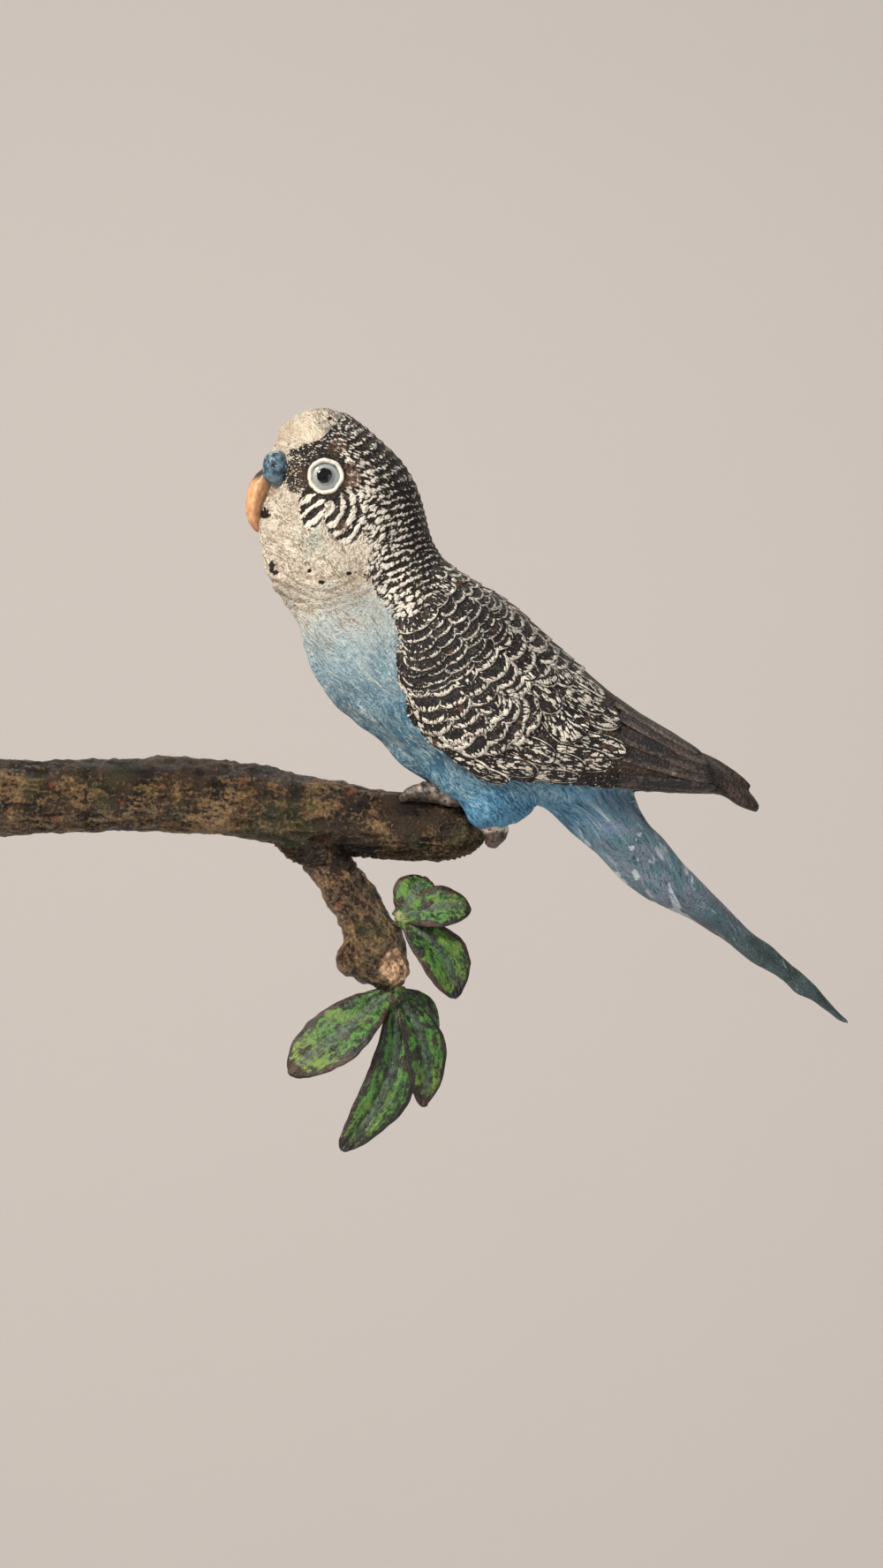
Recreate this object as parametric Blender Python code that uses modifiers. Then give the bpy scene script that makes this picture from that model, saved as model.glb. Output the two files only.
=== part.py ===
"""A cold-painted bronze budgerigar, life size, perched on the end of a cast branch.

The row frame has +X along the branch towards its tip, +Z up and +Y away from the side that the bird
shows. Its origin is the middle of the branch's cut face. Sizes are in millimetres and become metres
as each mesh is made.
"""

import math

import bmesh
import bpy
from mathutils import Matrix, Vector

MM = 0.001

# The branch: its radius, and its route as (x, y, z, share of that radius). It starts before the cut,
# which is then made square at x = 0.
BRANCH_RADIUS = 7.9
BRANCH_ROUTE = [
    (-2.0, 0.0, 0.0, 1.0),
    (8.0, 0.0, 0.2, 1.0),
    (19.0, 0.2, 0.6, 1.0),
    (30.4, 0.4, 0.9, 0.99),
    (41.8, 0.4, 1.0, 0.98),
    (53.2, 0.2, 0.4, 1.0),
    (64.6, 0.0, -1.1, 1.0),
    (74.1, 0.0, -3.0, 0.97),
    (83.6, 0.0, -4.7, 0.9),
    (93.1, 0.0, -6.1, 0.88),
    (100.7, 0.0, -6.6, 0.84),
    (106.4, 0.0, -6.6, 0.74),
    (110.0, 0.0, -6.5, 0.54),
    (111.8, 0.0, -6.5, 0.28),
]
BRANCH_SIDES = 20
PERCH_INDEX = 11  # the point of the route that the bird stands on
PERCH_LIFT = 1.4  # the bird's own zero above the bark there
FORK_INDEX = 7  # the point of the route that the twig leaves from

# The twig: its radius, and its route from the fork as (x, y, z, share of that radius)
TWIG_RADIUS = 5.0
TWIG_ROUTE = [
    (-2.0, 0.0, -2.0, 1.0),
    (1.2, -0.6, -5.8, 1.0),
    (3.6, -1.0, -10.2, 0.88),
    (7.9, -1.2, -16.4, 1.02),
    (12.0, -1.0, -22.4, 0.98),
    (14.2, -0.6, -28.4, 1.26),
    (15.8, -0.4, -33.0, 1.12),
    (17.4, -0.4, -36.4, 0.6),
]
TWIG_SIDES = 16
KNOT_INDEX = 5
# Knots as (x, y, z from the twig's knot station, share of the twig's radius)
TWIG_KNOTS = [(-4.8, -0.4, -3.2, 0.68), (5.0, -3.2, -4.0, 0.66), (-6.2, 0.6, 6.0, 0.4)]

# The bird's body in level slices: (height, front, back, share of the half width), from the perch
BODY_STATIONS = [
    (83.0, -31.9, -26.6, 0.24),
    (82.0, -34.8, -23.9, 0.4),
    (80.0, -37.6, -20.9, 0.57),
    (76.2, -39.5, -16.4, 0.78),
    (72.5, -40.5, -12.8, 0.9),
    (68.6, -41.3, -10.1, 0.97),
    (64.8, -42.0, -8.5, 1.0),
    (61.0, -42.9, -7.4, 1.02),
    (57.2, -43.3, -6.4, 1.03),
    (53.4, -42.6, -4.9, 1.03),
    (49.6, -41.6, -2.0, 1.05),
    (45.8, -40.1, 3.6, 1.1),
    (42.0, -37.9, 9.2, 1.17),
    (38.2, -35.6, 13.6, 1.25),
    (34.4, -34.2, 17.4, 1.31),
    (30.7, -33.1, 20.9, 1.36),
    (26.9, -31.8, 24.4, 1.38),
    (23.1, -29.3, 27.4, 1.37),
    (19.2, -26.2, 30.0, 1.33),
    (15.4, -21.7, 32.4, 1.27),
    (11.7, -16.7, 34.2, 1.2),
    (7.9, -13.3, 35.6, 1.12),
    (4.0, -8.7, 36.6, 1.01),
    (2.2, -4.2, 37.1, 0.94),
    (0.8, 0.9, 37.5, 0.86),
    (-0.3, 7.2, 37.9, 0.78),
    (-1.3, 13.3, 38.4, 0.7),
    (-2.2, 17.5, 38.9, 0.64),
    (-3.9, 20.3, 39.7, 0.59),
    (-7.4, 23.8, 41.8, 0.55),
    (-11.1, 28.5, 45.0, 0.53),
    (-14.9, 32.3, 48.6, 0.5),
    (-18.8, 35.9, 52.2, 0.47),
    (-21.6, 39.3, 55.1, 0.44),
    (-23.7, 44.1, 57.2, 0.39),
    (-26.3, 49.2, 59.7, 0.34),
    (-30.1, 54.9, 63.8, 0.28),
    (-34.0, 60.4, 69.0, 0.24),
    (-37.8, 66.1, 73.5, 0.2),
    (-41.6, 71.6, 77.5, 0.16),
    (-45.4, 77.3, 81.5, 0.12),
    (-48.2, 81.3, 84.0, 0.08),
]
BODY_HALF_WIDTH = 13.4
BODY_SIDES = 28
CROWN_RISE = 0.6
TAIL_TIP_DROP = 1.4

# One folded wing: (top x, top z, lower x, lower z, half width), from the perch
WING_STATIONS = [
    (0.0, 43.6, -9.6, 31.5, 14.6),
    (4.8, 45.3, -13.1, 26.6, 17.4),
    (10.4, 42.3, -13.6, 19.6, 19.0),
    (16.1, 37.3, -9.7, 13.4, 19.8),
    (21.8, 32.0, -3.4, 7.9, 20.0),
    (27.0, 27.5, 4.8, 4.2, 19.6),
    (32.3, 23.1, 13.7, 2.6, 18.4),
    (38.0, 18.6, 22.8, 2.0, 16.4),
    (44.1, 14.8, 32.3, 1.2, 13.6),
    (50.2, 10.9, 41.4, 0.6, 10.6),
    (55.5, 7.7, 49.8, 0.1, 7.8),
    (59.0, 4.9, 55.7, -0.2, 5.6),
    (62.3, 1.7, 60.2, -2.7, 4.0),
    (65.0, -1.6, 64.0, -4.2, 2.4),
]
# The far wing's tip crosses above the near one: how far back, and up at its top and lower edges
WING_TIP_BACK = 1.5
WING_TIP_RAISE = 3.8
WING_TIP_RAISE_LOW = 5.5
WING_TIP_INDEX = 9  # the station where the tips begin to part
COVERT_RINGS = 4
PRIMARY_RINGS = 2
WING_ARC_POINTS = 22
WING_ARC_END = math.radians(128)
WING_SEAM_OVERLAP = 0.5
WING_EDGE_FADE = 4  # the relief fades out over this share, one in so many, at both edges
WING_FLARE = 0.5  # how far the relief leans towards the wing's edges
COVERT_PITCH = 6.4
COVERT_WIDTH = 6.6
COVERT_RISE = 1.0
COVERT_SCALLOP = 0.42  # how far a covert's corners lie behind its tip, in pitches
COVERT_END_INDEX = 7  # the coverts end at this station
PRIMARY_WIDTH = 3.6
PRIMARY_RISE = 0.5

# The face, from the perch
EYE_PLACE = (-28.5, 68.8)
EYE_RING_RADIUS = 3.3
EYE_RING_WIDTH = 1.4
EYE_RING_RISE = 0.8
EYE_BALL_RISE = 1.2
EYE_SINK = 2.5
EYE_SIDES = 20
# The eyeball's dome as (share of its radius, share of its rise), and the ring's groove and flat top
EYE_DOME = [(0.0, 1.0), (0.5, 0.86), (0.85, 0.5)]
EYE_GROOVE_SHARE = 0.3
EYE_RING_FLAT_SHARE = 0.2
CERE_PLACE = (-40.0, 71.2)
CERE_RADIUS = 2.9
CERE_HALF_GAP = 1.6
CERE_SIZE = (1.0, 0.9, 1.15)  # each lobe's half sizes as shares of the radius
# The beak's middle line as (x, z, half depth, half width)
BEAK_LINE = [
    (-40.6, 69.6, 2.2, 3.4),
    (-42.6, 67.2, 2.3, 3.5),
    (-43.6, 64.4, 2.1, 3.3),
    (-44.0, 61.6, 1.8, 2.8),
    (-43.7, 59.0, 1.4, 2.0),
    (-43.0, 57.0, 0.8, 1.0),
]
BEAK_SIDES = 12

# The feet: toe routes as (x, y, z, radius) from the perch, for the near foot
THIGH_PLACE = (9.4, 6.2, -1.0)
THIGH_SIZE = (9.6, 5.6, 5.4)
THIGH_TILT = math.radians(-30)
FRONT_TOES = [
    [
        (4.0, 5.4, -0.6, 2.4), (-2.0, 5.2, 0.2, 2.4), (-6.6, 4.9, 0.9, 2.2),
        (-10.6, 4.6, 0.3, 1.6), (-12.8, 4.4, -1.0, 0.8),
    ],
    [
        (4.0, 2.6, 0.0, 2.2), (-1.6, 1.9, 0.9, 2.2), (-5.8, 1.6, 1.5, 1.9),
        (-9.0, 1.5, 0.9, 1.3), (-10.8, 1.5, 0.0, 0.7),
    ],
]
REAR_TOES = [
    [(5.0, 5.6, -3.6, 2.4), (7.2, 5.4, -6.8, 2.5), (7.5, 4.9, -9.0, 2.1), (6.4, 4.2, -10.8, 1.2)],
    [(5.6, 2.4, -2.6, 2.2), (8.2, 2.2, -5.8, 2.2), (8.6, 2.0, -8.2, 1.8), (7.8, 1.8, -10.0, 1.0)],
]
TOE_SIDES = 8

# The leaves: each has a length, a half width, and its base, tip and face direction from its hub
LEAF_THICKNESS = 1.3
LEAF_FOLD = 0.32
LEAF_BOW = 1.6
LEAF_BROAD = 1.15  # over 1, a leaf is broadest past its middle
LEAF_BLUNT = 0.75  # under 1, its ends are blunter than a sine's
LEAF_STEM = 0.18
LEAF_EDGE = 0.06  # how much of the thickness, squared, is left at its edges
LEAF_RINGS = 9
LEAF_ACROSS = 3
END_HUB_DROP = 3.4
END_HUB_RADIUS = 2.5
END_LEAVES = [
    # tip, half width, face direction, bend
    ((-21.8, -3.6, -16.8), 6.8, (-0.25, -0.86, 0.45), -1.6),
    ((-10.0, -3.0, -33.2), 5.5, (0.3, -0.95, 0.1), -3.6),
    ((7.0, 1.2, -23.4), 5.3, (0.42, -0.9, 0.1), -1.7),
    ((10.6, 5.0, -8.8), 3.2, (0.5, -0.6, 0.5), -1.2),
]
SIDE_HUB_PLACE = (5.6, -1.6, 5.6)
SIDE_HUB_RADIUS = 1.9
SIDE_LEAVES = [
    ((15.4, -1.6, 3.0), 4.4, (0.18, -0.72, 0.66), -1.4),
    ((12.6, -2.2, -16.8), 5.3, (0.5, -0.84, 0.2), -1.4),
    ((6.8, 2.6, 8.8), 2.7, (-0.5, -0.6, 0.6), 0.2),
]

CLEARANCE = 0.3  # between the solids that are soldered together
WELD = 0.001


def clear_scene():
    for old in list(bpy.data.objects):
        bpy.data.objects.remove(old)


def collection(name):
    made = bpy.data.collections.new(name)
    bpy.context.scene.collection.children.link(made)
    return made


def material(name, colour, roughness, metallic=0.0):
    made = bpy.data.materials.new(name)
    made.use_nodes = True
    shader = made.node_tree.nodes["Principled BSDF"]
    shader.inputs["Base Color"].default_value = (*colour, 1.0)
    shader.inputs["Roughness"].default_value = roughness
    shader.inputs["Metallic"].default_value = metallic
    return made


def smooth_path(points, per_span):
    """Points on a Catmull-Rom curve through the given ones, with per_span steps in each span."""
    ends = [points[0], *points, points[-1]]
    path = []
    for i in range(1, len(ends) - 2):
        a, b, c, d = ends[i - 1 : i + 3]
        for step in range(per_span):
            t = step / per_span
            path.append(
                tuple(
                    0.5 * (2 * q + (r - p) * t + (2 * p - 5 * q + 4 * r - s) * t * t
                           + (3 * q - p - 3 * r + s) * t ** 3)
                    for p, q, r, s in zip(a, b, c, d)
                )
            )
    path.append(tuple(points[-1]))
    return path


def object_from(name, bm, target):
    """A mesh object in triangles, because the exact solver takes each face as flat."""
    bmesh.ops.triangulate(bm, faces=bm.faces)
    mesh = bpy.data.meshes.new(name)
    bm.to_mesh(mesh)
    bm.free()
    made = bpy.data.objects.new(name, mesh)
    target.objects.link(made)
    return made


def loft(name, rings, target, first_tip=None, last_tip=None):
    """A closed skin over closed rings of equal count, each end a flat face or a fan to its tip."""
    bm = bmesh.new()
    rows = [[bm.verts.new(Vector(p) * MM) for p in ring] for ring in rings]
    count = len(rows[0])
    for low, high in zip(rows, rows[1:]):
        for k in range(count):
            bm.faces.new((low[k], low[(k + 1) % count], high[(k + 1) % count], high[k]))
    for row, tip in ((rows[0], first_tip), (rows[-1], last_tip)):
        if tip is None:
            bm.faces.new(row)
        else:
            apex = bm.verts.new(Vector(tip) * MM)
            for k in range(count):
                bm.faces.new((row[k], row[(k + 1) % count], apex))
    bmesh.ops.recalc_face_normals(bm, faces=bm.faces)
    return object_from(name, bm, target)


def tube(name, route, radius, sides, target):
    """A filled tube along (x, y, z, share) points, as a curve with a bevel, made a welded mesh."""
    curve = bpy.data.curves.new(name, "CURVE")
    curve.dimensions = "3D"
    curve.bevel_depth = radius * MM
    curve.bevel_resolution = (sides - 4) // 2
    curve.use_fill_caps = True
    spline = curve.splines.new("POLY")
    spline.points.add(len(route) - 1)
    for point, (x, y, z, share) in zip(spline.points, route):
        point.co = (x * MM, y * MM, z * MM, 1.0)
        point.radius = share
    drawn = bpy.data.objects.new(name, curve)
    target.objects.link(drawn)
    return welded(name, drawn, target)


def ball(name, place, size, target, tilt=0.0, sides=16):
    """An ellipsoid with its half sizes, turned about +Y."""
    bm = bmesh.new()
    bmesh.ops.create_uvsphere(bm, u_segments=sides, v_segments=sides // 2, radius=1.0)
    grow = Matrix.Diagonal(Vector(size) * MM).to_4x4()
    turn = Matrix.Rotation(tilt, 4, "Y")
    bmesh.ops.transform(bm, verts=bm.verts, matrix=Matrix.Translation(Vector(place) * MM) @ turn @ grow)
    return object_from(name, bm, target)


def turned(name, profile, place, side, sides, target):
    """A profile of (radius, height) points turned about Y, its height pointing to -Y or +Y."""
    mesh = bpy.data.meshes.new(name)
    points = [Vector((radius, side * height, 0)) * MM for radius, height in profile]
    mesh.from_pydata(points, [(i, i + 1) for i in range(len(points) - 1)], [])
    drawn = bpy.data.objects.new(name, mesh)
    target.objects.link(drawn)
    screw = drawn.modifiers.new("turn", "SCREW")
    screw.axis = "Y"
    screw.steps = screw.render_steps = sides
    screw.use_merge_vertices = True
    screw.merge_threshold = WELD * MM
    made = welded(name, drawn, target)
    made.data.transform(Matrix.Translation(Vector(place) * MM))
    return made


def welded(name, drawn, target):
    """The mesh of a curve or a modified object, its seams and caps welded, in the object's place."""
    bm = bmesh.new()
    bm.from_mesh(evaluated_mesh(drawn))
    bpy.data.objects.remove(drawn)
    bmesh.ops.remove_doubles(bm, verts=bm.verts, dist=WELD * MM)
    bmesh.ops.recalc_face_normals(bm, faces=bm.faces)
    return object_from(name, bm, target)


def evaluated_mesh(item):
    depsgraph = bpy.context.evaluated_depsgraph_get()
    return bpy.data.meshes.new_from_object(item.evaluated_get(depsgraph))


def combine(item, tool, operation):
    """Joins tool to item, or cuts it from item, with the exact solver. The tool stays."""
    modifier = item.modifiers.new(operation.lower(), "BOOLEAN")
    modifier.operation = operation
    modifier.solver = "EXACT"
    modifier.object = tool
    bm = bmesh.new()
    bm.from_mesh(evaluated_mesh(item))
    item.modifiers.clear()
    bmesh.ops.remove_doubles(bm, verts=bm.verts, dist=WELD * MM)
    bmesh.ops.dissolve_degenerate(bm, edges=bm.edges, dist=WELD * MM)
    bmesh.ops.triangulate(bm, faces=bm.faces)
    bm.to_mesh(item.data)
    bm.free()


def unite(item, tools):
    for tool in tools:
        combine(item, tool, "UNION")
        bpy.data.objects.remove(tool)
    return item


def branch_route(extra=0.0):
    """The branch's stations, grown by extra all round."""
    return [(x, y, z, share + extra / BRANCH_RADIUS) for x, y, z, share in BRANCH_ROUTE]


def fork_point():
    return Vector(BRANCH_ROUTE[FORK_INDEX][:3])


def twig_route(extra=0.0):
    """The twig's stations from the fork, grown by extra all round."""
    fork, grown = fork_point(), extra / TWIG_RADIUS
    return [(fork.x + x, fork.y + y, fork.z + z, share + grown) for x, y, z, share in TWIG_ROUTE]


def knot_centre():
    return fork_point() + Vector(TWIG_ROUTE[KNOT_INDEX][:3])


def twig_end():
    return fork_point() + Vector(TWIG_ROUTE[-1][:3])


def perch_point():
    """The top of the branch under the bird."""
    x, y, z, share = BRANCH_ROUTE[PERCH_INDEX]
    return Vector((x, y, z + share * BRANCH_RADIUS + PERCH_LIFT))


def cut_square(item):
    """Cuts off what lies before x = 0 and closes the cut with a flat face."""
    bm = bmesh.new()
    bm.from_mesh(item.data)
    everything = [*bm.verts, *bm.edges, *bm.faces]
    bmesh.ops.bisect_plane(bm, geom=everything, plane_co=(0, 0, 0), plane_no=(-1, 0, 0), clear_outer=True)
    rim = [edge for edge in bm.edges if edge.is_boundary]
    for vert in {vert for edge in rim for vert in edge.verts}:
        vert.co.x = 0.0
    bmesh.ops.contextual_create(bm, geom=rim)
    bmesh.ops.recalc_face_normals(bm, faces=bm.faces)
    bmesh.ops.triangulate(bm, faces=bm.faces)
    bm.to_mesh(item.data)
    bm.free()


def build_branch(name, target, extra=0.0):
    """The branch with its twig and knots, grown by extra all round where it is a cutter."""
    branch = tube(name, smooth_path(branch_route(extra), 2), BRANCH_RADIUS, BRANCH_SIDES, target)
    cut_square(branch)
    twig = tube(name + "_twig", smooth_path(twig_route(extra), 2), TWIG_RADIUS, TWIG_SIDES, target)
    knots = []
    for i, (x, y, z, share) in enumerate(TWIG_KNOTS):
        size = share * TWIG_RADIUS + extra
        knots.append(ball(f"{name}_knot_{i}", knot_centre() + Vector((x, y, z)), (size,) * 3, target))
    return unite(branch, [twig, *knots])


def body_ring(station, sides=BODY_SIDES):
    height, front, back, share = station
    middle, reach = (front + back) / 2, (back - front) / 2
    perch = perch_point()
    ring = []
    for k in range(sides):
        turn = 2 * math.pi * k / sides
        x = middle - reach * math.cos(turn)
        y = share * BODY_HALF_WIDTH * math.sin(turn)
        ring.append((perch.x + x, perch.y + y, perch.z + height))
    return ring


def body_side(x, height):
    """The body's half width at a place in its side view."""
    above = [s for s in BODY_STATIONS if s[0] >= height][-1]
    below = [s for s in BODY_STATIONS if s[0] < height][0]
    part = (height - below[0]) / (above[0] - below[0])
    front, back, share = (b + (a - b) * part for a, b in zip(above[1:], below[1:]))
    across = 2 * (x - front) / (back - front) - 1
    return share * BODY_HALF_WIDTH * math.sqrt(max(0.0, 1 - across * across))


def build_body(target):
    perch = perch_point()
    top, tail = BODY_STATIONS[0], BODY_STATIONS[-1]
    crown = perch + Vector(((top[1] + top[2]) / 2, 0, top[0] + CROWN_RISE))
    tip = perch + Vector((tail[2], 0, tail[0] - TAIL_TIP_DROP))
    return loft("bird", [body_ring(s) for s in BODY_STATIONS], target, crown, tip)


def feather_height(along, around, on_coverts):
    """Relief of the wing: scalloped rows of coverts, then long primaries stepped side by side."""
    if not on_coverts:
        lane = around / PRIMARY_WIDTH
        return PRIMARY_RISE * (lane - math.floor(lane))
    row = math.floor(along / COVERT_PITCH)
    lane = around / COVERT_WIDTH + 0.5 * (row % 2)
    across = 2 * (lane - math.floor(lane)) - 1
    place = along / COVERT_PITCH - row + COVERT_SCALLOP * across * across
    return COVERT_RISE * (place - math.floor(place))


def wing_stations(raised):
    """The wing's stations, with its tip lifted on the wing that crosses over the other."""
    made = []
    for i, (top_x, top_z, low_x, low_z, wide) in enumerate(WING_STATIONS):
        late = max(0, i - WING_TIP_INDEX) / (len(WING_STATIONS) - 1 - WING_TIP_INDEX)
        late = late if raised else 0.0
        back = WING_TIP_BACK * late
        top_z, low_z = top_z + WING_TIP_RAISE * late, low_z + WING_TIP_RAISE_LOW * late
        made.append((top_x - back, top_z, low_x - back, low_z, wide))
    return made


def build_wing(name, side, target):
    """One folded wing, whose flat inner side lies on the bird's middle plane. side is -1 or 1."""
    perch = perch_point()
    rings, along = [], 0.0
    stations = wing_stations(side > 0)
    coverts = smooth_path(stations, COVERT_RINGS)[: COVERT_END_INDEX * COVERT_RINGS]
    stations = coverts + smooth_path(stations, PRIMARY_RINGS)[COVERT_END_INDEX * PRIMARY_RINGS :]
    middles = [Vector(((s[0] + s[2]) / 2, 0, (s[1] + s[3]) / 2)) for s in stations]
    for i, (top_x, top_z, low_x, low_z, wide) in enumerate(stations):
        if i:
            along += (middles[i] - middles[i - 1]).length
        height = math.hypot(top_x - low_x, top_z - low_z)
        down = Vector((low_x - top_x, 0, low_z - top_z)).normalized()
        ring = []
        for k in range(WING_ARC_POINTS):
            turn = WING_ARC_END * k / (WING_ARC_POINTS - 1)
            share = (1 - math.cos(turn)) / (1 - math.cos(WING_ARC_END))
            around = share * math.hypot(height, wide)
            fade = min(1.0, WING_EDGE_FADE * share, WING_EDGE_FADE * (1 - share), i / COVERT_RINGS)
            rise = fade * feather_height(along, around, i < len(coverts)) - COVERT_RISE
            out = Vector((0, side * math.sin(turn), 0)) - down * math.cos(turn) * WING_FLARE
            point = Vector((top_x, 0, top_z)) + down * height * share
            point += Vector((0, side * wide * math.sin(turn), 0)) + out.normalized() * rise
            ring.append(perch + point)
        inner = perch + Vector((low_x, -side * WING_SEAM_OVERLAP, low_z))
        crest = perch + Vector((top_x, -side * WING_SEAM_OVERLAP, top_z - COVERT_RISE))
        ring += [inner, crest]
        rings.append(ring)
    return loft(name, rings, target)


def eye_profile():
    """A domed ball in a raised ring, as (radius, height) from the middle of the eye outwards."""
    inner, outer = EYE_RING_RADIUS - EYE_RING_WIDTH / 2, EYE_RING_RADIUS + EYE_RING_WIDTH / 2
    flat = EYE_RING_WIDTH * EYE_RING_FLAT_SHARE
    return [
        *[(inner * out, EYE_BALL_RISE * rise) for out, rise in EYE_DOME],
        (inner, EYE_RING_RISE * EYE_GROOVE_SHARE),
        (EYE_RING_RADIUS - flat, EYE_RING_RISE),
        (EYE_RING_RADIUS + flat, EYE_RING_RISE),
        (outer, 0.0),
        (outer, -EYE_SINK),
        (0.0, -EYE_SINK),
    ]


def build_face(target):
    """The hooked beak, the cere's two lobes, and an eye with its raised ring on each side."""
    perch = perch_point()
    rings = []
    for x, z, deep, wide in BEAK_LINE:
        ring = []
        for k in range(BEAK_SIDES):
            turn = 2 * math.pi * k / BEAK_SIDES
            ring.append(perch + Vector((x + deep * math.cos(turn), wide * math.sin(turn), z)))
        rings.append(ring)
    made = [loft("beak", rings, target)]
    for side in (-1, 1):
        lobe = perch + Vector((CERE_PLACE[0], side * CERE_HALF_GAP, CERE_PLACE[1]))
        size = [CERE_RADIUS * share for share in CERE_SIZE]
        made.append(ball(f"cere_{side}", lobe, size, target))
        centre = perch + Vector((EYE_PLACE[0], side * body_side(*EYE_PLACE), EYE_PLACE[1]))
        made.append(turned(f"eye_{side}", eye_profile(), centre, side, EYE_SIDES, target))
    return made


def build_legs(target):
    """Feathered thighs, and toes that close over the branch, two forward and two back each."""
    perch = perch_point()
    made = []
    for side in (-1, 1):
        place = perch + Vector((THIGH_PLACE[0], side * THIGH_PLACE[1], THIGH_PLACE[2]))
        made.append(ball(f"thigh_{side}", place, THIGH_SIZE, target, THIGH_TILT))
        for i, toe in enumerate(FRONT_TOES + REAR_TOES):
            route = [(perch.x + x, perch.y + side * y, perch.z + z, r) for x, y, z, r in toe]
            made.append(tube(f"toe_{side}_{i}", smooth_path(route, 2), 1.0, TOE_SIDES, target))
    return made


def build_leaf(name, hub, tip, half_wide, face, bend, target):
    """A cast leaf: a lens-shaped outline folded along its midrib and bowed along its length."""
    base, end = Vector(hub), Vector(hub) + Vector(tip)
    line = (end - base).normalized()
    across = line.cross(Vector(face)).normalized()
    out = across.cross(line).normalized()
    rings = []
    for i in range(LEAF_RINGS + 1):
        t = (1 - math.cos(math.pi * i / LEAF_RINGS)) / 2
        wide = half_wide * max(LEAF_STEM, math.sin(math.pi * t ** LEAF_BROAD) ** LEAF_BLUNT)
        bow = math.sin(math.pi * t)
        middle = base.lerp(end, t) + out * LEAF_BOW * bow + across * bend * bow
        top, under = [], []
        for k in range(-LEAF_ACROSS, LEAF_ACROSS + 1):
            share = k / LEAF_ACROSS
            lift = LEAF_FOLD * wide * (abs(share) - 0.5 * share * share)
            half = 0.5 * LEAF_THICKNESS * math.sqrt(max(LEAF_EDGE, 1 - share * share))
            spot = middle + across * wide * share + out * lift
            top.append(spot + out * half)
            under.append(spot - out * half)
        rings.append(top + under[::-1])
    return loft(name, rings, target)


def build_spray(name, hub, radius, leaves, target, cutter):
    """Leaves cast together on a small hub, cut back where the twig stands."""
    parts = []
    for i, (tip, half_wide, face, bend) in enumerate(leaves):
        parts.append(build_leaf(f"{name}_leaf_{i}", hub, tip, half_wide, face, bend, target))
    spray = unite(ball(name, hub, (radius,) * 3, target), parts)
    combine(spray, cutter, "DIFFERENCE")
    return spray


def finish(item, paint):
    item.data.materials.clear()
    item.data.materials.append(paint)
    item.data.shade_smooth()
    item.data.set_sharp_from_angle(angle=math.radians(40))


def main():
    clear_scene()
    parts, cutters = collection("budgerigar_on_branch"), collection("cutters")
    bark = material("bark_paint", (0.16, 0.12, 0.07), 0.45)
    plumage = material("plumage_paint", (0.42, 0.46, 0.48), 0.55)
    leaf_green = material("leaf_paint", (0.12, 0.3, 0.08), 0.35)

    branch = build_branch("branch", parts)
    clear_of_branch = build_branch("branch_clearance", cutters, CLEARANCE)
    clear_of_branch.hide_render = True
    clear_of_branch.display_type = "WIRE"

    bird = unite(build_body(parts), build_face(parts))
    unite(bird, [build_wing("left_wing", -1, parts), build_wing("right_wing", 1, parts)])
    unite(bird, build_legs(parts))
    combine(bird, clear_of_branch, "DIFFERENCE")

    end_hub = twig_end() - Vector((0, 0, END_HUB_DROP))
    side_hub = knot_centre() + Vector(SIDE_HUB_PLACE)
    end_spray, side_spray = [
        build_spray(name, hub, radius, leaves, parts, clear_of_branch)
        for name, hub, radius, leaves in (
            ("end_leaf_spray", end_hub, END_HUB_RADIUS, END_LEAVES),
            ("side_leaf_spray", side_hub, SIDE_HUB_RADIUS, SIDE_LEAVES),
        )
    ]

    finish(branch, bark)
    finish(bird, plumage)
    finish(end_spray, leaf_green)
    finish(side_spray, leaf_green)


main()
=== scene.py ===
"""The looks of a cold-painted bronze budgerigar on its cast branch.

Places are in millimetres from the bird's perch point unless a comment says otherwise: x along the
branch, y away from the side that the bird shows, z up.
"""

import math
from types import SimpleNamespace

import bmesh
import bpy
import numpy as np
from mathutils import Matrix, Vector
from mathutils.bvhtree import BVHTree


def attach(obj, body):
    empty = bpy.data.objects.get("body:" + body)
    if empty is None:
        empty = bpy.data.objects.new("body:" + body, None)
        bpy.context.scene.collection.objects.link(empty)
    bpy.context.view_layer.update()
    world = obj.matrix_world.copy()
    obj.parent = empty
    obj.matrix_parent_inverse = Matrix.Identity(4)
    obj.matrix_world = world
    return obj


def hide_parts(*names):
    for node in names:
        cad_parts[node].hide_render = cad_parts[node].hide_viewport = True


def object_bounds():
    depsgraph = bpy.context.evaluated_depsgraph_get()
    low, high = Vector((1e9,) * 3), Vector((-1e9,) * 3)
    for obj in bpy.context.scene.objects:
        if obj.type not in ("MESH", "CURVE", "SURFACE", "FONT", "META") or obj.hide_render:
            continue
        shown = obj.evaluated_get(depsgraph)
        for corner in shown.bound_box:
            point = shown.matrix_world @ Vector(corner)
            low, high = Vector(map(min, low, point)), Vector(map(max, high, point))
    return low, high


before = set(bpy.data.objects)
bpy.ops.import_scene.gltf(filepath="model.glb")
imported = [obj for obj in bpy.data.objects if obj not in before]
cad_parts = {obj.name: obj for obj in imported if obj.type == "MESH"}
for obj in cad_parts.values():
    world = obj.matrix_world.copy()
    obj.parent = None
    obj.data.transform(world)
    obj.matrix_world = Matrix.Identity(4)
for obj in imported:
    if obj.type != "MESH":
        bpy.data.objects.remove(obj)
CAD_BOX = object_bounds()
MM = 0.001
SEED = 11
SIDES = (-1, 1)
PERCH = np.array((106.4, 0.0, 0.65))
SKIN_CELL = 0.485
BARK_CELL = 0.38
CERE_CELL = 0.2
FOOT_CELL = 0.26
BOX_MARGIN = 0.01
TUBE_POINT = 0.02
SMOOTHING = 0.6
ROW_END = 2.2
BACK_ROWS = 12
BACK_PITCH = 3.2
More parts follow.
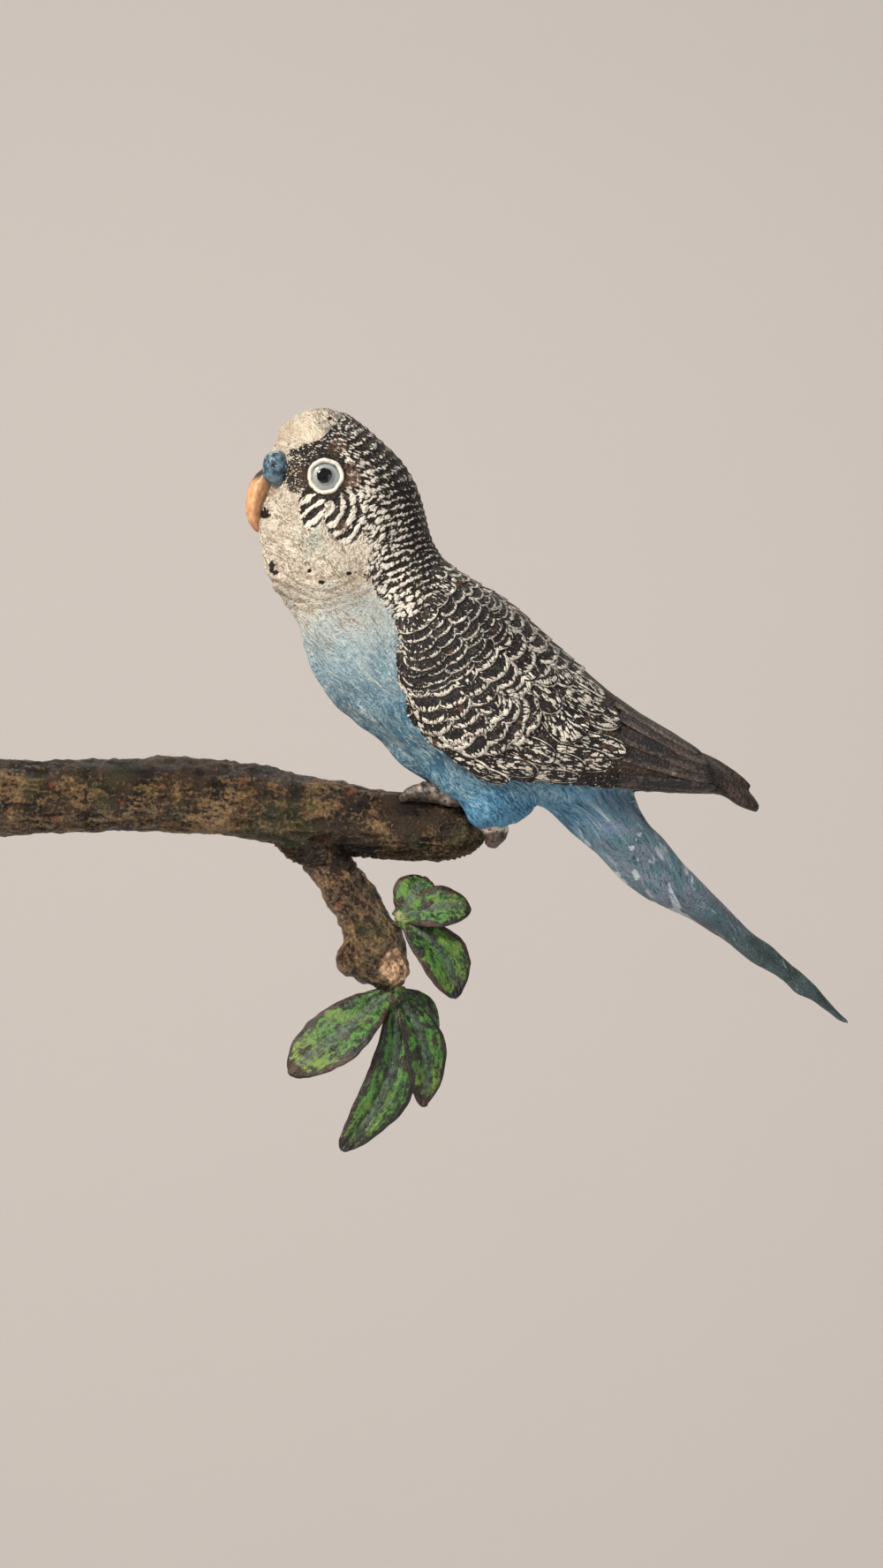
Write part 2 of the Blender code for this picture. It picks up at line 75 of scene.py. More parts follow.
# How far off a ray starts that looks for the skin: for the wings, and for the back and the eyes
WING_RAY = 60.0
CLOSE_RAY = 40.0

# The stage in metres, and the camera's sensor in millimetres
CAMERA_DISTANCE = 1.0
CAMERA_AIM = (0.1026, 0.0032)
FRAME_HEIGHT = 0.33744
SENSOR = 36.0
FLOOR_HEIGHT = -0.5
ROOM_HALF = 5
WALL_AWAY = 1.2
WALL_TOP = 4
LIGHT_AIM = Vector((0.1, 0, 0.02))

# The bird's body in level slices: (height, front, back, share of the half width)
BODY = [
    (83.0, -31.9, -26.6, 0.24), (82.0, -34.8, -23.9, 0.4), (80.0, -37.6, -20.9, 0.57),
    (76.2, -39.5, -16.4, 0.78), (72.5, -40.5, -12.8, 0.9), (68.6, -41.3, -10.1, 0.97),
    (64.8, -42.0, -8.5, 1.0), (61.0, -42.9, -7.4, 1.02), (57.2, -43.3, -6.4, 1.03),
    (53.4, -42.6, -4.9, 1.03), (49.6, -41.6, -2.0, 1.05), (45.8, -40.1, 3.6, 1.1),
    (42.0, -37.9, 9.2, 1.17), (38.2, -35.6, 13.6, 1.25), (34.4, -34.2, 17.4, 1.31),
    (30.7, -33.1, 20.9, 1.36), (26.9, -31.8, 24.4, 1.38), (23.1, -29.3, 27.4, 1.37),
    (19.2, -26.2, 30.0, 1.33), (15.4, -21.7, 32.4, 1.27), (11.7, -16.7, 34.2, 1.2),
    (7.9, -13.3, 35.6, 1.12), (4.0, -8.7, 36.6, 1.01), (2.2, -4.2, 37.1, 0.94),
    (0.8, 0.9, 37.5, 0.86), (-0.3, 7.2, 37.9, 0.78), (-1.3, 13.3, 38.4, 0.7),
    (-2.2, 17.5, 38.9, 0.64), (-3.9, 20.3, 39.7, 0.59), (-7.4, 23.8, 41.8, 0.55),
    (-11.1, 28.5, 45.0, 0.53), (-14.9, 32.3, 48.6, 0.5), (-18.8, 35.9, 52.2, 0.47),
    (-21.6, 39.3, 55.1, 0.44), (-23.7, 44.1, 57.2, 0.39), (-26.3, 49.2, 59.7, 0.34),
    (-30.1, 54.9, 63.8, 0.28), (-34.0, 60.4, 69.0, 0.24), (-37.8, 66.1, 73.5, 0.2),
    (-41.6, 71.6, 77.5, 0.16), (-45.4, 77.3, 81.5, 0.12), (-48.2, 81.3, 84.0, 0.08),
]
BODY_HALF_WIDTH = 13.4
BODY_ENDS = ((-29.2, 0, 83.5), (84.0, 0, -49.4))
BODY_SIDES = 56
# One folded wing: (top x, top z, lower x, lower z, half width)
WING = [
    (0.0, 43.6, -9.6, 31.5, 14.2), (4.8, 45.3, -13.1, 26.6, 16.6), (10.4, 42.3, -13.6, 19.6, 18.2),
    (16.1, 37.3, -9.7, 13.4, 19.0), (21.8, 32.0, -3.4, 7.9, 19.2), (27.0, 27.5, 4.8, 4.2, 18.8),
    (32.3, 23.1, 13.7, 2.6, 17.6), (38.0, 18.6, 22.8, 2.0, 15.7), (44.1, 14.8, 32.3, 1.2, 13.0),
    (50.2, 10.9, 41.4, 0.6, 10.2), (55.5, 7.7, 49.8, 0.1, 7.5), (59.0, 4.9, 55.7, -0.2, 5.4),
    (62.3, 1.7, 60.2, -2.7, 3.8), (65.0, -1.6, 64.0, -4.2, 2.2),
]
WING_INSET = 0.5
WING_ARC = math.radians(128)
WING_POINTS = 30
WING_TIP_FROM = 9
WING_TIP_SHIFT = (-1.5, 3.8, 5.5)
# Each thigh in two balls: (x, outward, z), half sizes, tilt in degrees
THIGH = [((9.4, 6.2, -1.0), (9.6, 5.6, 5.4), -30), ((-0.2, 6.2, 3.0), (9.5, 4.8, 4.4), 38)]

# Rows of wing feathers as lines through their tips, (x, z), from the shoulder to the wing's middle
SHOULDER_ROWS = [
    [(-12.3, 34), (-9.2, 34.4), (-6.1, 36.4), (-3.4, 39.9), (-1.1, 43), (0.1, 46.1)],
    [(-11.6, 30.2), (-7.3, 30.2), (-4.6, 32.5), (-1.5, 35.2), (2, 37.9), (3.6, 41), (4, 44.1)],
    [(-11.2, 26.7), (-6.5, 26.3), (-2.2, 29), (1.2, 31.7), (5.1, 35.6), (6.7, 39.1), (6.5, 42.4)],
    [(-12.3, 23.2), (-7.3, 22.8), (-2.6, 24.3), (2, 27.4), (6.3, 31.7), (9.4, 36), (9, 40.6)],
    [(-11.6, 20.9), (-5.4, 20.5), (0.1, 22.2), (4.3, 25.1), (9, 29.4), (12.1, 34), (11.7, 38.7)],
    [(-9.6, 17.7), (-3.4, 17.7), (2, 19.9), (6.7, 22.8), (10.9, 26.7), (14.4, 31.3), (13.8, 36.7)],
    [(-8.1, 15), (-1.9, 15.4), (4, 18.1), (8.2, 20.9), (12.1, 24), (16.2, 27.8), (16.4, 34.4)],
    [(-6.1, 12.1), (0.5, 13.9), (5.9, 16.6), (9.8, 19.5), (14.4, 23.6), (18.7, 25.5), (18.9, 31.7)],
    [(-3.4, 9.6), (2.8, 11.9), (7.8, 15), (10.9, 18.5), (16, 22.4), (20.2, 24), (21, 29.4)],
]
COVERT_ROWS = [
    [(-1.1, 8.4), (4, 11.5), (8.2, 14.6), (11.3, 18.1)],
    [(2, 6.9), (5.9, 9.2), (10.2, 12.7), (12.9, 17)],
    [(6.7, 7.9), (11.3, 10.4), (14.4, 14.3), (15.2, 18.5)],
    [(11.3, 9.2), (15.2, 12.7), (17.7, 16.6), (16.8, 20.1)],
]
# Large wing feathers one by one: tip x, tip z, direction in degrees, length, width
LARGE_FEATHERS = [
    (16.4, 24.3, -50, 7.8, 5.8), (20.2, 23.2, -55, 7.8, 5.8), (23.9, 23, -60, 9.3, 5.8),
    (31.3, 20.7, -42, 12.8, 4.7), (31.5, 17.7, -20, 10.1, 5.8), (34.4, 15, -15, 11.6, 6.6),
    (25.7, 11.7, -55, 10.1, 8.9), (21, 17.7, -50, 7.8, 5.8), (35.8, 9.2, -12, 12.8, 4.7),
    (32.6, 6.9, -12, 12.8, 5.0), (26.8, 5.7, -20, 9.7, 5.0), (20.6, 7.7, -25, 10.1, 5.0),
    (16.8, 5.3, -15, 10.1, 4.3), (10.9, 3.4, -20, 9.7, 3.9), (25.7, 4.2, -8, 9.7, 3.5),
    (6.7, 5, -25, 8.5, 3.9), (27.6, 13.5, -25, 8.5, 5.8),
]
# Flight feathers: root, tip, width
FLIGHT_FEATHERS = [
    ((40, 7.8), (64.6, -3.4), 4.4), ((33, 4.4), (57.0, 1.2), 2.6), ((33, 6.2), (55.4, 2.0), 3.2),
    ((33, 8.2), (55.0, 3.2), 3.6), ((32, 10.8), (54.1, 4.6), 4.2), ((32, 13.6), (53.7, 6.0), 4.6),
    ((31, 16.6), (52.0, 8.0), 4.8),
]

# Chips in the paint: centre and half sizes, on the near side
CHIPS = [
    ((-41.8, -4.0, 60.7), (1.1, 4.5, 1.25)),
    ((-40.2, -6.0, 49.0), (0.55, 6.0, 1.5)),
    ((-39.4, -6.0, 47.8), (0.8, 6.0, 0.5)),
    ((-31.9, -12.0, 47.8), (0.5, 5.0, 0.4)),
    ((-29.2, -12.5, 45.4), (0.7, 5.0, 0.45)),
    ((-23.5, -12.5, 47.3), (0.7, 5.0, 0.5)),
    ((-27.7, -8.0, 80.7), (0.42, 5.0, 0.42)),
]

EYE = (-28.4, 67.9)
EYE_RING = [(2.92, -2.2), (2.94, 0.1), (3.1, 0.5), (3.4, 0.7), (3.7, 0.58), (3.92, 0.2), (4.02, -0.6),
            (3.9, -2.2)]
IRIS = [(0.05, 0.85), (1.2, 0.8), (2.1, 0.62), (2.8, 0.36), (3.15, 0.1), (3.2, -1.2)]
PUPIL = [(0.04, 1.12), (0.7, 1.04), (1.35, 0.86), (1.75, 0.62), (1.82, 0.2)]
CERE = (-39.2, 70.3)
NOSTRIL = (-39.6, 70.9)
# The upper beak in level slices: (middle x, height, half depth, half width)
BEAK = [
    (-40.4, 70.4, 1.9, 3.0), (-42.3, 67.9, 2.2, 3.4), (-43.6, 64.8, 2.0, 3.3), (-44.2, 61.8, 1.6, 2.9),
    (-44.0, 59.2, 1.3, 2.1), (-43.3, 57.4, 0.85, 1.2), (-42.8, 56.6, 0.3, 0.4),
]
# A foot's toes, from the leg to the claw: (x, outward, z, radius)
TOES = [
    [(4.0, 5.4, -0.6, 2.4), (-2.0, 5.2, 0.2, 2.4), (-6.6, 4.9, 0.9, 2.2), (-10.6, 4.6, 0.3, 1.6),
     (-12.8, 4.4, -1.0, 0.7)],
    [(4.0, 2.6, 0.0, 2.2), (-1.6, 1.9, 0.9, 2.2), (-5.8, 1.6, 1.5, 1.9), (-9.0, 1.5, 0.9, 1.3),
     (-10.8, 1.5, 0.0, 0.6)],
    [(5.0, 5.6, -3.6, 2.4), (7.2, 5.4, -6.8, 2.5), (7.5, 4.9, -9.0, 2.1), (6.4, 4.2, -10.8, 1.0)],
    [(5.6, 2.4, -2.6, 2.2), (8.2, 2.2, -5.8, 2.2), (8.6, 2.0, -8.2, 1.8), (7.8, 1.8, -10.0, 0.9)],
]

# The branch, from its cut face: (x, y, z, radius)
BRANCH = [
    (-2.0, 0.0, 0.0, 7.9), (8.0, 0.0, 0.2, 7.9), (19.0, 0.2, 0.6, 7.9), (30.4, 0.4, 0.9, 7.8),
    (41.8, 0.4, 1.0, 7.75), (53.2, 0.2, 0.4, 7.9), (64.6, 0.0, -1.1, 7.9), (74.1, 0.0, -3.0, 7.65),
    (83.6, 0.0, -4.7, 7.1), (93.1, 0.0, -6.1, 6.95), (100.7, 0.0, -6.6, 6.6), (106.4, 0.0, -6.6, 5.85),
    (110.0, 0.0, -6.5, 4.3), (111.8, 0.0, -6.5, 2.2),
]
TWIG = [
    (72.1, 0.0, -5.0, 5.0), (75.3, -0.6, -8.8, 5.0), (77.7, -1.0, -13.2, 4.5), (82.0, -1.2, -19.4, 5.0),
    (86.1, -1.0, -25.4, 4.9), (88.3, -0.6, -31.4, 6.2), (89.9, -0.4, -36.0, 5.5), (91.5, -0.4, -39.4, 3.0),
]
# The lump where the twig leaves the branch: place, half sizes, tilt in degrees
FORK = ((71.0, 0.0, -9.3), (7.0, 4.5, 3.2), 38)
KNOTS = [
    ((83.5, -1.0, -34.6), 3.4), ((92.4, -1.8, -36.4), 3.5), ((82.1, 0.0, -25.4), 2.0),
    ((86.6, -1.0, -36.6), 3.2),
]
# Each leaf: tip from the hub, half width, face direction, sideways bend, how light its tip is, partly a
# painted highlight
END_LEAVES = [
    ((-22.8, -3.6, -18.2), 6.6, (-0.25, -0.9, 0.4), -1.2, 0.7),
    ((-11.2, -3.0, -34.7), 5.6, (0.3, -0.95, 0.1), -4.4, 0.3),
    ((6.2, 1.2, -25.4), 4.9, (0.42, -0.9, 0.1), -2.4, 0.5),
    ((9.0, 5.0, -10.8), 3.2, (0.5, -0.6, 0.5), -1.2, 0.0),
]
SIDE_LEAVES = [
    ((15.0, -1.6, 2.4), 4.6, (0.1, -0.95, 0.35), -0.8, 0.2),
    ((12.2, -2.2, -16.6), 5.8, (0.45, -0.88, 0.2), -1.8, 0.4),
    ((5.6, 2.6, 8.8), 5.0, (-0.2, -0.95, 0.3), 0.2, 0.0),
]
END_HUB = (92.7, -0.4, -40.8)
SIDE_HUB = (93.9, -2.2, -25.8)
LEAF_ROWS = 64
LEAF_HALF_COLUMNS = 14

BONE = (242, 232, 212)
SOOT = (18, 15, 14)
UMBER = (92, 65, 46)
BAR_PITCH = 1.75
ARC_PITCH = 2.3


def lattice(cell, seed):
    """A fixed random value from 0 to 1 for each whole-number cell."""
    n = cell[:, 0] * 374761393 + cell[:, 1] * 668265263 + cell[:, 2] * 1442695041 + seed * 974634777
    n = (n ^ (n >> 13)) * 1274126177
    return ((n ^ (n >> 16)) & 0xFFFFFF) / 0xFFFFFF


def noise(points, size, seed=0):
    """Smooth random values from -1 to 1 at points, with lumps of that size (one number or three)."""
    q = np.asarray(points, float) / np.asarray(size, float)
    cell = np.floor(q).astype(np.int64)
    f = q - cell
    f = f * f * (3 - 2 * f)
    total = np.zeros(len(q))
    for corner in np.ndindex(2, 2, 2):
        c = np.array(corner)
        weight = np.prod(np.where(c == 1, f, 1 - f), axis=1)
        total += weight * lattice(cell + c, seed + SEED)
    return 2 * total - 1


def ramp(value, low, high):
    """0 below low, 1 above high and smooth between; low may be the greater."""
    t = np.clip((value - low) / (high - low), 0, 1)
    return t * t * (3 - 2 * t)


def spot(x, z, centre, none, full, squash=(1, 1)):
    """In the side view 1 within full of a centre and 0 beyond none."""
    return ramp(np.hypot((x - centre[0]) * squash[0], (z - centre[1]) * squash[1]), none, full)


def round_turn(sides):
    """Angles evenly round a circle."""
    return np.linspace(0, 2 * math.pi, sides, endpoint=False)


def smooth_path(points, per_span):
    """Points on a Catmull-Rom curve through the given ones."""
    p = np.array([points[0], *points, points[-1]], float)
    path = []
    for i in range(1, len(p) - 2):
        a, b, c, d = p[i - 1 : i + 3]
        square, cube = 2 * a - 5 * b + 4 * c - d, 3 * b - a - 3 * c + d
        for step in range(per_span):
            t = step / per_span
            path.append(0.5 * (2 * b + (c - a) * t + square * t * t + cube * t ** 3))
    path.append(p[-1])
    return np.array(path)


def loft(rings, tips=(None, None)):
    """Vertices and faces of a closed skin over rings of equal count, each end a face or a fan."""
    count = len(rings[0])
    verts = [tuple(p) for ring in rings for p in ring]
    faces = []
    for row in range(len(rings) - 1):
        for k in range(count):
            a, b = row * count + k, row * count + (k + 1) % count
            faces.append((a, b, b + count, a + count))
    for row, tip in zip((0, len(rings) - 1), tips):
        ring = [row * count + k for k in range(count)]
        if tip is None:
            faces.append(tuple(ring))
        else:
            verts.append(tuple(tip))
            faces += [(ring[k], ring[(k + 1) % count], len(verts) - 1) for k in range(count)]
    return verts, faces


def tube(route, sides):
    """A closed tube along (x, y, z, radius) points, with pointed ends."""
    route = np.array(route, float)
    path, radii = route[:, :3], route[:, 3]
    tangents = np.gradient(path, axis=0)
    rings = []
    for p, t, r in zip(path, tangents, radii):
        t = t / np.linalg.norm(t)
        side = np.cross(t, (0, 1, 0))
        side /= np.linalg.norm(side)
        up = np.cross(side, t)
        rings.append([p + r * (math.cos(a) * side + math.sin(a) * up) for a in round_turn(sides)])
    return loft(rings, (path[0] - tangents[0] * TUBE_POINT, path[-1] + tangents[-1] * TUBE_POINT))


def ball(place, size, tilt=0.0, sides=20):
    """An ellipsoid with its half sizes, turned about y by tilt."""
    turn = np.array(Matrix.Rotation(tilt, 3, "Y"))
    rings = []
    for i in range(1, sides // 2):
        a = math.pi * i / (sides // 2)
        ring = [
            (math.sin(a) * math.cos(b), math.sin(a) * math.sin(b), math.cos(a)) for b in round_turn(sides)
        ]
        rings.append(np.array(ring) * size @ turn.T + place)
    poles = [np.array((0, 0, end)) * size @ turn.T + place for end in (1, -1)]
    return loft(rings, poles)


def joined(parts):
    """Several parts' vertices and faces as one."""
    verts, faces = [], []
    for v, f in parts:
        faces += [tuple(i + len(verts) for i in face) for face in f]
        verts += v
    return verts, faces


def mesh_object(name, verts, faces, origin=PERCH):
    """A mesh object from vertices in millimetres from origin."""
    mesh = bpy.data.meshes.new(name)
    mesh.from_pydata(((np.array(verts) + origin) * MM).tolist(), [], [list(f) for f in faces])
    bm = bmesh.new()
    bm.from_mesh(mesh)
    bmesh.ops.recalc_face_normals(bm, faces=bm.faces)
    bm.to_mesh(mesh)
    bm.free()
    made = bpy.data.objects.new(name, mesh)
    bpy.context.scene.collection.objects.link(made)
    return made


def settle(item):
    """Makes the modified object's shape its plain mesh."""
    depsgraph = bpy.context.evaluated_depsgraph_get()
    mesh = bpy.data.meshes.new_from_object(item.evaluated_get(depsgraph))
    item.modifiers.clear()
    old, item.data = item.data, mesh
    bpy.data.meshes.remove(old)
    return item


def fused(name, parts, cell, origin=PERCH):
    """One even skin round overlapping closed parts."""
    item = mesh_object(name, *joined(parts), origin)
    remesh = item.modifiers.new("skin", "REMESH")
    remesh.mode = "VOXEL"
    remesh.voxel_size = cell * MM
    return settle(item)


def points_of(item):
    """A piece's vertices as an array, in millimetres."""
    co = np.zeros(len(item.data.vertices) * 3)
    item.data.vertices.foreach_get("co", co)
    return co.reshape(-1, 3) / MM


def normals_of(item):
    """The normal at each vertex."""
    normals = np.zeros(len(item.data.vertices) * 3)
    item.data.vertex_normals.foreach_get("vector", normals)
    return normals.reshape(-1, 3)


def set_points(item, co):
    """Moves a piece's vertices to places in millimetres."""
    item.data.vertices.foreach_set("co", (np.asarray(co) * MM).ravel())
    item.data.update()


def swell(item, rise):
    """Moves each point out along its normal by its rise."""
    set_points(item, points_of(item) + normals_of(item) * rise[:, None])


def relax(item, rounds, keep=None):
    """Smooths a mesh; keep is 1 where it stays as it is."""
    co = points_of(item)
    edges = np.zeros(len(item.data.edges) * 2, np.int64)
    item.data.edges.foreach_get("vertices", edges)
    a, b = edges.reshape(-1, 2).T
    count = np.bincount(a, minlength=len(co)) + np.bincount(b, minlength=len(co))
    move = SMOOTHING if keep is None else SMOOTHING * (1 - keep)[:, None]
    for _ in range(rounds):
        sums = [np.bincount(a, co[b, k], len(co)) + np.bincount(b, co[a, k], len(co)) for k in range(3)]
        co += move * (np.stack(sums, axis=1) / count[:, None] - co)
    set_points(item, co)


def store(item, name, values):
    """Keeps a number or a vector for each vertex."""
    values = np.asarray(values, np.float32)
    kind = "FLOAT" if values.ndim == 1 else "FLOAT_VECTOR"
    held = item.data.attributes.get(name) or item.data.attributes.new(name, kind, "POINT")
    held.data.foreach_set("value" if kind == "FLOAT" else "vector", values.ravel())


def finish_piece(item, paint):
    """Keeps a piece inside the CAD box, paints it and hangs it on the figurine."""
    low, high = (np.array(corner) / MM for corner in CAD_BOX)
    set_points(item, np.clip(points_of(item), low + BOX_MARGIN, high - BOX_MARGIN))
    item.data.materials.clear()
    item.data.materials.append(paint)
    item.data.shade_smooth()
    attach(item, "root")
    return item


class Tree:
    """Adds nodes to one node tree."""

    def __init__(self, tree):
        self.tree = tree

    def node(self, kind, inputs=None, **settings):
        """A new node with its settings and inputs."""
        made = self.tree.nodes.new(kind)
        for key, value in settings.items():
            setattr(made, key, value)
        for key, value in (inputs or {}).items():
            self.set(made.inputs[key], value)
        return made

    def set(self, socket, value):
        """Links the input to a socket, or else gives it a value."""
        if isinstance(value, bpy.types.NodeSocket):
            self.tree.links.new(value, socket)
        else:
            socket.default_value = value

    def math(self, operation, a, b=0.0, clamp=False):
        return self.node("ShaderNodeMath", {0: a, 1: b}, operation=operation, use_clamp=clamp).outputs[0]

    def vector_math(self, operation, a, b):
        inputs = {0: a, "Scale" if operation == "SCALE" else 1: b}
        return self.node("ShaderNodeVectorMath", inputs, operation=operation).outputs[0]

    def add(self, first, *others):
        for other in others:
            first = self.math("ADD", first, other)
        return first

    def less(self, a, b):
        return self.math("SUBTRACT", a, b)

    def times(self, first, *others):
        for other in others:
            first = self.math("MULTIPLY", first, other)
        return first

    def most(self, first, *others):
        for other in others:
            first = self.math("MAXIMUM", first, other)
        return first

    def sway(self, value, strength):
        """A pattern from 0 to 1 as a push to both sides of nought."""
        return self.times(self.less(value, 0.5), strength)

    def ramp(self, value, low, high):
        """0 at low and 1 at high, smooth between."""
        inputs = {"Value": value, "From Min": low, "From Max": high}
        return self.node("ShaderNodeMapRange", inputs, interpolation_type="SMOOTHSTEP").outputs[0]

    def mix(self, share, a, b):
        made = self.node("ShaderNodeMix", {0: share, 6: colour(a), 7: colour(b)}, data_type="RGBA")
        return made.outputs[2]

    def between(self, value, low, high, a, b):
        """Colour a where the value is low and b where it is high."""
        return self.mix(self.ramp(value, low, high), a, b)

    def wash(self, base, paint, mask, share=1.0):
        """Base with paint over it where the mask is, at that share of its full strength."""
        return self.mix(mask if share == 1.0 else self.times(mask, share), base, paint)

    def noise(self, place, size, detail=2.0, rough=0.5):
        inputs = {"Vector": place, "Scale": 1 / size, "Detail": detail, "Roughness": rough}
        return self.node("ShaderNodeTexNoise", inputs).outputs[0]

    def number(self, name):
        """A number stored on the mesh."""
        return self.node("ShaderNodeAttribute", attribute_name=name).outputs["Fac"]

    def vector(self, name):
        """A vector stored on the mesh."""
        return self.node("ShaderNodeAttribute", attribute_name=name).outputs["Vector"]

    def place(self):
        """The surface's place in millimetres."""
        return self.vector_math("SCALE", self.node("ShaderNodeTexCoord").outputs["Object"], 1 / MM)

    def stretched(self, place, sizes):
        """A place counted in steps of that size, one for all directions or three."""
        return self.vector_math("MULTIPLY", place, (1 / np.broadcast_to(sizes, 3)).tolist())

    def feather_size(self):
        """The width and length of the feather, in millimetres."""
        size = self.node("ShaderNodeSeparateXYZ", {0: self.vector("size")}).outputs
        return self.times(size[0], 1 / MM), self.times(size[1], 1 / MM)

    def group(self, group, inputs):
        """The outputs of a new node that holds the group."""
        made = self.node("ShaderNodeGroup", node_tree=group)
        for key, value in inputs.items():
            self.set(made.inputs[key], value)
        return made.outputs

    def grit(self, place):
        """The brushed paint's own pattern."""
        return self.group(BRUSHED, {"Place": place})["Value"]


def colour(value):
    """A shader colour from a socket, or from screen values 0 to 255."""
    if isinstance(value, bpy.types.NodeSocket):
        return value
    return (*[((v / 255 + 0.055) / 1.055) ** 2.4 if v > 10 else v / 3294 for v in value[:3]], 1.0)


def shader_group(name, vectors, numbers, outputs):
    """A node group with its vector and number inputs and its number outputs."""
    group = bpy.data.node_groups.new(name, "ShaderNodeTree")
    ports = (("INPUT", "NodeSocketVector", vectors), ("INPUT", "NodeSocketFloat", numbers),
             ("OUTPUT", "NodeSocketFloat", outputs))
    for end, kind, labels in ports:
        for label in labels:
            group.interface.new_socket(label, in_out=end, socket_type=kind)
    t = Tree(group)
    return t, t.node("NodeGroupInput").outputs, t.node("NodeGroupOutput").inputs


def make_brushed_group():
    """Paint left by a dry brush: covers a share of the surface in broken patches."""
    t, given, made = shader_group("dry_brushed", ["Place"], ["Cover", "Edge"], ["Mask", "Value"])
    fine = t.noise(given["Place"], 1.0, 4.0, 0.62)
    broad = t.noise(given["Place"], 4.3)
    value = t.add(t.times(fine, 0.75), t.times(broad, 0.25))
    low = t.less(0.72, t.times(given["Cover"], 0.44))
    t.set(made["Mask"], t.ramp(value, t.less(low, given["Edge"]), t.add(low, given["Edge"])))
    t.set(made["Value"], value)
    return t.tree


def make_chip_group():
    """One chip in the paint: 1 inside a ragged blob round a point."""
    t, given, made = shader_group("paint_chip", ["Place", "Centre", "Spread"], [], ["Mask"])
    away = t.vector_math("SUBTRACT", given["Place"], given["Centre"])
    scaled = t.vector_math("DIVIDE", away, given["Spread"])
    distance = t.node("ShaderNodeVectorMath", {0: scaled}, operation="LENGTH").outputs["Value"]
    ragged = t.sway(t.noise(given["Place"], 0.9, 3.0), 2.4)
    t.set(made["Mask"], t.ramp(t.add(distance, ragged), 1.08, 0.95))
    return t.tree


def make_pitted_group():
    """Fine pits and specks of an old painted casting."""
    t, given, made = shader_group("pitted_paint", ["Place"], [], ["Pits", "Height"])
    inputs = {"Vector": given["Place"], "Scale": 0.62, "Randomness": 1.0}
    cells = t.node("ShaderNodeTexVoronoi", inputs, feature="F1").outputs["Distance"]
    gate = t.noise(given["Place"], 3.0)
    fine = t.noise(given["Place"], 0.5, 3.0, 0.6)
    pits = t.times(t.ramp(t.add(cells, t.times(fine, 0.25)), 0.36, 0.24), t.ramp(gate, 0.47, 0.6))
    t.set(made["Pits"], pits)
    t.set(made["Height"], t.less(t.times(fine, 0.8), pits))
    return t.tree


def make_barb_group():
    """Barbs raised in clumps: Value is low at the middle of each clump and high in the gaps."""
    t, given, made = shader_group("barb_clumps", ["Place"], [], ["Value", "Height"])
    inputs = {"Vector": given["Place"], "Scale": 0.9, "Detail": 2.0}
    warp = t.node("ShaderNodeTexNoise", inputs).outputs["Color"]
    warp = t.vector_math("SCALE", t.vector_math("SUBTRACT", warp, (0.5, 0.5, 0.5)), 1.1)
    inputs = {"Vector": t.vector_math("ADD", given["Place"], warp), "Scale": 1.0, "Randomness": 0.95}
    cells = t.node("ShaderNodeTexVoronoi", inputs).outputs["Distance"]
    fine = t.less(t.noise(given["Place"], 0.4, 3.0, 0.6), 0.5)
    t.set(made["Value"], t.add(cells, t.times(fine, 0.8)))
    t.set(made["Height"], t.less(t.times(fine, 0.7), cells))
    return t.tree


BRUSHED = make_brushed_group()
BARBS = make_barb_group()
CHIP = make_chip_group()
PITTED = make_pitted_group()


def new_paint(name):
    """A material with an empty tree, its shader and its output."""
    made = bpy.data.materials.new(name)
    made.use_nodes = True
    made.node_tree.nodes.clear()
    tree = Tree(made.node_tree)
    shader = tree.node("ShaderNodeBsdfPrincipled")
    output = tree.node("ShaderNodeOutputMaterial")
    made.node_tree.links.new(shader.outputs[0], output.inputs["Surface"])
    return made, tree, shader


def end_paint(t, shader, base, rough, height=None, depth=0.2, **extra):
    """Sets the shader's inputs. depth is the bump's depth in millimetres."""
    t.set(shader.inputs["Base Color"], colour(base))
    t.set(shader.inputs["Roughness"], rough)
    if height is not None:
        bump = t.node("ShaderNodeBump", {"Height": height, "Distance": depth * MM, "Strength": 1.0})
        t.set(shader.inputs["Normal"], bump.outputs[0])
    for key, value in extra.items():
        t.set(shader.inputs[key.replace("_", " ")], value)


def skin_patterns(t):
    """The patterns that the skin's colours share."""
    place, stroke = t.place(), t.vector("stroke")
    worms = t.math("ABSOLUTE", t.less(t.noise(t.stretched(place, 1.5), 1.0), 0.5))
    pitted = t.group(PITTED, {"Place": place})
    return SimpleNamespace(
        place=place, stroke=stroke, worms=worms, pits=pitted["Pits"], pitted=pitted["Height"],
        pepper=t.grit(t.stretched(place, 0.5)), hairs=t.grit(stroke), broad=t.noise(place, 6.0),
    )


